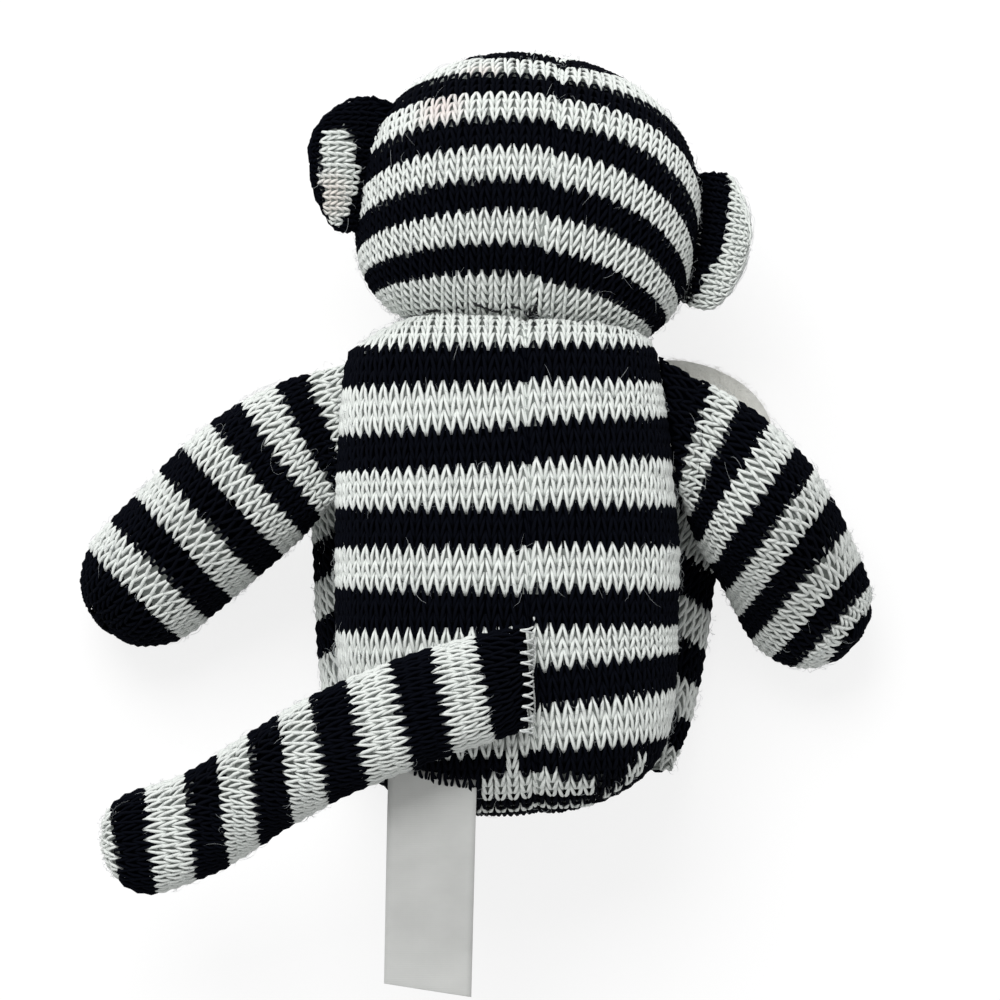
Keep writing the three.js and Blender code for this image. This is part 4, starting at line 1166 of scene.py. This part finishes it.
# Label. A bare ribbon of white satin, folded once at its far end, with both ends sewn into the
# base seam. It droops towards the table and cups a little across its width.
label_width, label_length, label_gap, ribbon_thickness = 0.0176, 0.0482, 0.0003, 0.00016
label_dips, label_heading, label_skew = (14, 22, 26, 28, 22), math.radians(-1.5), 0.13
label_clear, label_hidden, label_drop, cup_height, wave_height = 0.0001, 0.0014, 0.0004, 0.0007, 0.0006
label_start = np.array(record_joints["label_lift"]["pos_m"])
label_ahead = np.array([math.sin(label_heading), -math.cos(label_heading), 0])
label_side = np.array([math.cos(label_heading), math.sin(label_heading), 0])
lie = [(0.0, 0.0, 0.0)]
for dip in label_dips:
    lie.append((lie[-1][0] + label_length / 5 * math.cos(math.radians(dip)),
                lie[-1][1] - label_length / 5 * math.sin(math.radians(dip)), 0))
# the ribbon's route from the side: out on top, round the fold and back underneath
_, outline, outline_way = smooth_path(lie, 40)
square = np.column_stack([-outline_way[:, 1], outline_way[:, 0]])
top = outline[:, :2] - square * label_clear
under = top - square * (label_gap + ribbon_thickness)
bend = [(top[-1] + under[-1]) / 2 + (label_gap + ribbon_thickness) / 2 * (
    outline_way[-1, :2] * math.cos(t) + square[-1] * math.sin(t)) for t in np.linspace(1.2, -1.2, 7)]
route = np.vstack([top, bend, under[::-1]])
way = unit(np.gradient(route, axis=0))
off = np.column_stack([-way[:, 1], way[:, 0]]) * ribbon_thickness / 2
across = np.linspace(-0.5, 0.5, 15)
points = []
for sign in (1, -1):
    for (ahead_by, rise_by), (off_ahead, off_rise) in zip(route, off):
        share = ahead_by / label_length
        for a in across:
            curl = (cup_height * (1 - (2 * a) ** 2) * (0.3 + 0.7 * share)
                    + wave_height * math.sin(5 * share + 2 * a))
            ahead = ahead_by - label_hidden + sign * off_ahead + label_skew * a * label_width
            points.append(label_start + label_ahead * ahead + label_side * a * label_width
                          + up * (rise_by + sign * off_rise + curl - label_drop))
rows, columns = len(route), len(across)
layer = rows * columns
faces = []
for i in range(rows - 1):
    for k in range(columns - 1):
        a = i * columns + k
        b = a + layer
        faces += [(a, a + columns, a + columns + 1, a + 1), (b, b + 1, b + columns + 1, b + columns)]
# the ribbon's two cut ends, and then its two woven edges
for k in range(columns - 1):
    for a, turned in ((k, False), ((rows - 1) * columns + k, True)):
        quad = (a, a + 1, a + 1 + layer, a + layer)
        faces.append(quad[::-1] if turned else quad)
for i in range(rows - 1):
    for a, turned in ((i * columns, True), (i * columns + columns - 1, False)):
        quad = (a, a + columns, a + columns + layer, a + layer)
        faces.append(quad[::-1] if turned else quad)


def satin_material():
    """White satin ribbon: fine warp lines along it, weft lines across it and a silky sheen."""
    material, shade, add = new_material("label_satin")
    place = add("TexCoord", {})["Object"]
    warp = add("TexWave", {"Vector": place, "Scale": 1300.0, "Distortion": 1.5}, bands_direction="X")["Fac"]
    weft = add("TexWave", {"Vector": place, "Scale": 700.0}, bands_direction="Y")["Fac"]
    both = add("Math", {0: warp, 1: 0.6, 2: weft}, operation="MULTIPLY_ADD")[0]
    # the ribbon is darker in blotches at random
    blotch = add("TexNoise", {"Vector": place, "Scale": 160.0})["Fac"]
    colour = add("Mix", {"Factor": blotch, "A": (0.66, 0.67, 0.65, 1), "B": (0.80, 0.81, 0.79, 1)},
                 data_type="RGBA")["Result"]
    bump = add("Bump", {"Height": both, "Strength": 0.25, "Distance": 0.00005})["Normal"]
    shade({"Base Color": colour, "Normal": bump, "Roughness": 0.42, "Anisotropic": 0.5, "Sheen Weight": 0.15,
           "Specular IOR Level": 0.35})
    return material


satin_label = face_outward(new_mesh("satin_label", np.array(points), faces, [satin_material()]))
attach(satin_label, "label")
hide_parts("label")


# The table, the light and the camera, straight above the doll. To the camera and in reflections the
# table is mostly a white card.
white, grey, card_strength, card_share = (1, 1, 1, 1), (0.86, 0.86, 0.86, 1), 1.12, 0.72
bpy.ops.object.select_all(action="DESELECT")
bpy.ops.mesh.primitive_plane_add(size=6, location=(0, 0, -0.0004))
table = bpy.context.object
table.name = "table"
material, shade, add = new_material("table")
cloth_shader = shade({"Base Color": grey, "Roughness": 0.9})["BSDF"]
card = add("Emission", {"Color": white, "Strength": card_strength})["Emission"]
ray = add("LightPath", {})
seen = add("Math", {0: ray["Is Camera Ray"], 1: ray["Is Glossy Ray"]}, operation="MAXIMUM")[0]
part = add("Math", {0: seen, 1: card_share}, operation="MULTIPLY")[0]
mix = add("MixShader", {"Fac": part, 1: cloth_shader, 2: card})["Shader"]
shade({"Surface": mix}, "Material Output")
table.data.materials.append(material)

world = bpy.data.worlds.new("studio")
bpy.context.scene.world = world
world.use_nodes = True
world.node_tree.nodes["Background"].inputs["Color"].default_value = white
world.node_tree.nodes["Background"].inputs["Strength"].default_value = 0.46

lamp_data = bpy.data.lights.new("soft_box", "AREA")
lamp_data.shape, lamp_data.size, lamp_data.energy = "SQUARE", 0.8, 13.5
lamp = bpy.data.objects.new("soft_box", lamp_data)
lamp.location = (-0.25, 0.75, 1.1)
lamp.rotation_mode = "QUATERNION"
lamp.rotation_quaternion = (Vector((0, 0, 0.04)) - lamp.location).to_track_quat("-Z", "Y")
bpy.context.scene.collection.objects.link(lamp)

camera_data = bpy.data.cameras.new("camera")
camera_data.sensor_width, camera_data.lens = sensor, lens
camera = bpy.data.objects.new("camera", camera_data)
camera.location = camera_place
bpy.context.scene.collection.objects.link(camera)
bpy.context.scene.camera = camera
bpy.context.scene.view_settings.view_transform = "Standard"
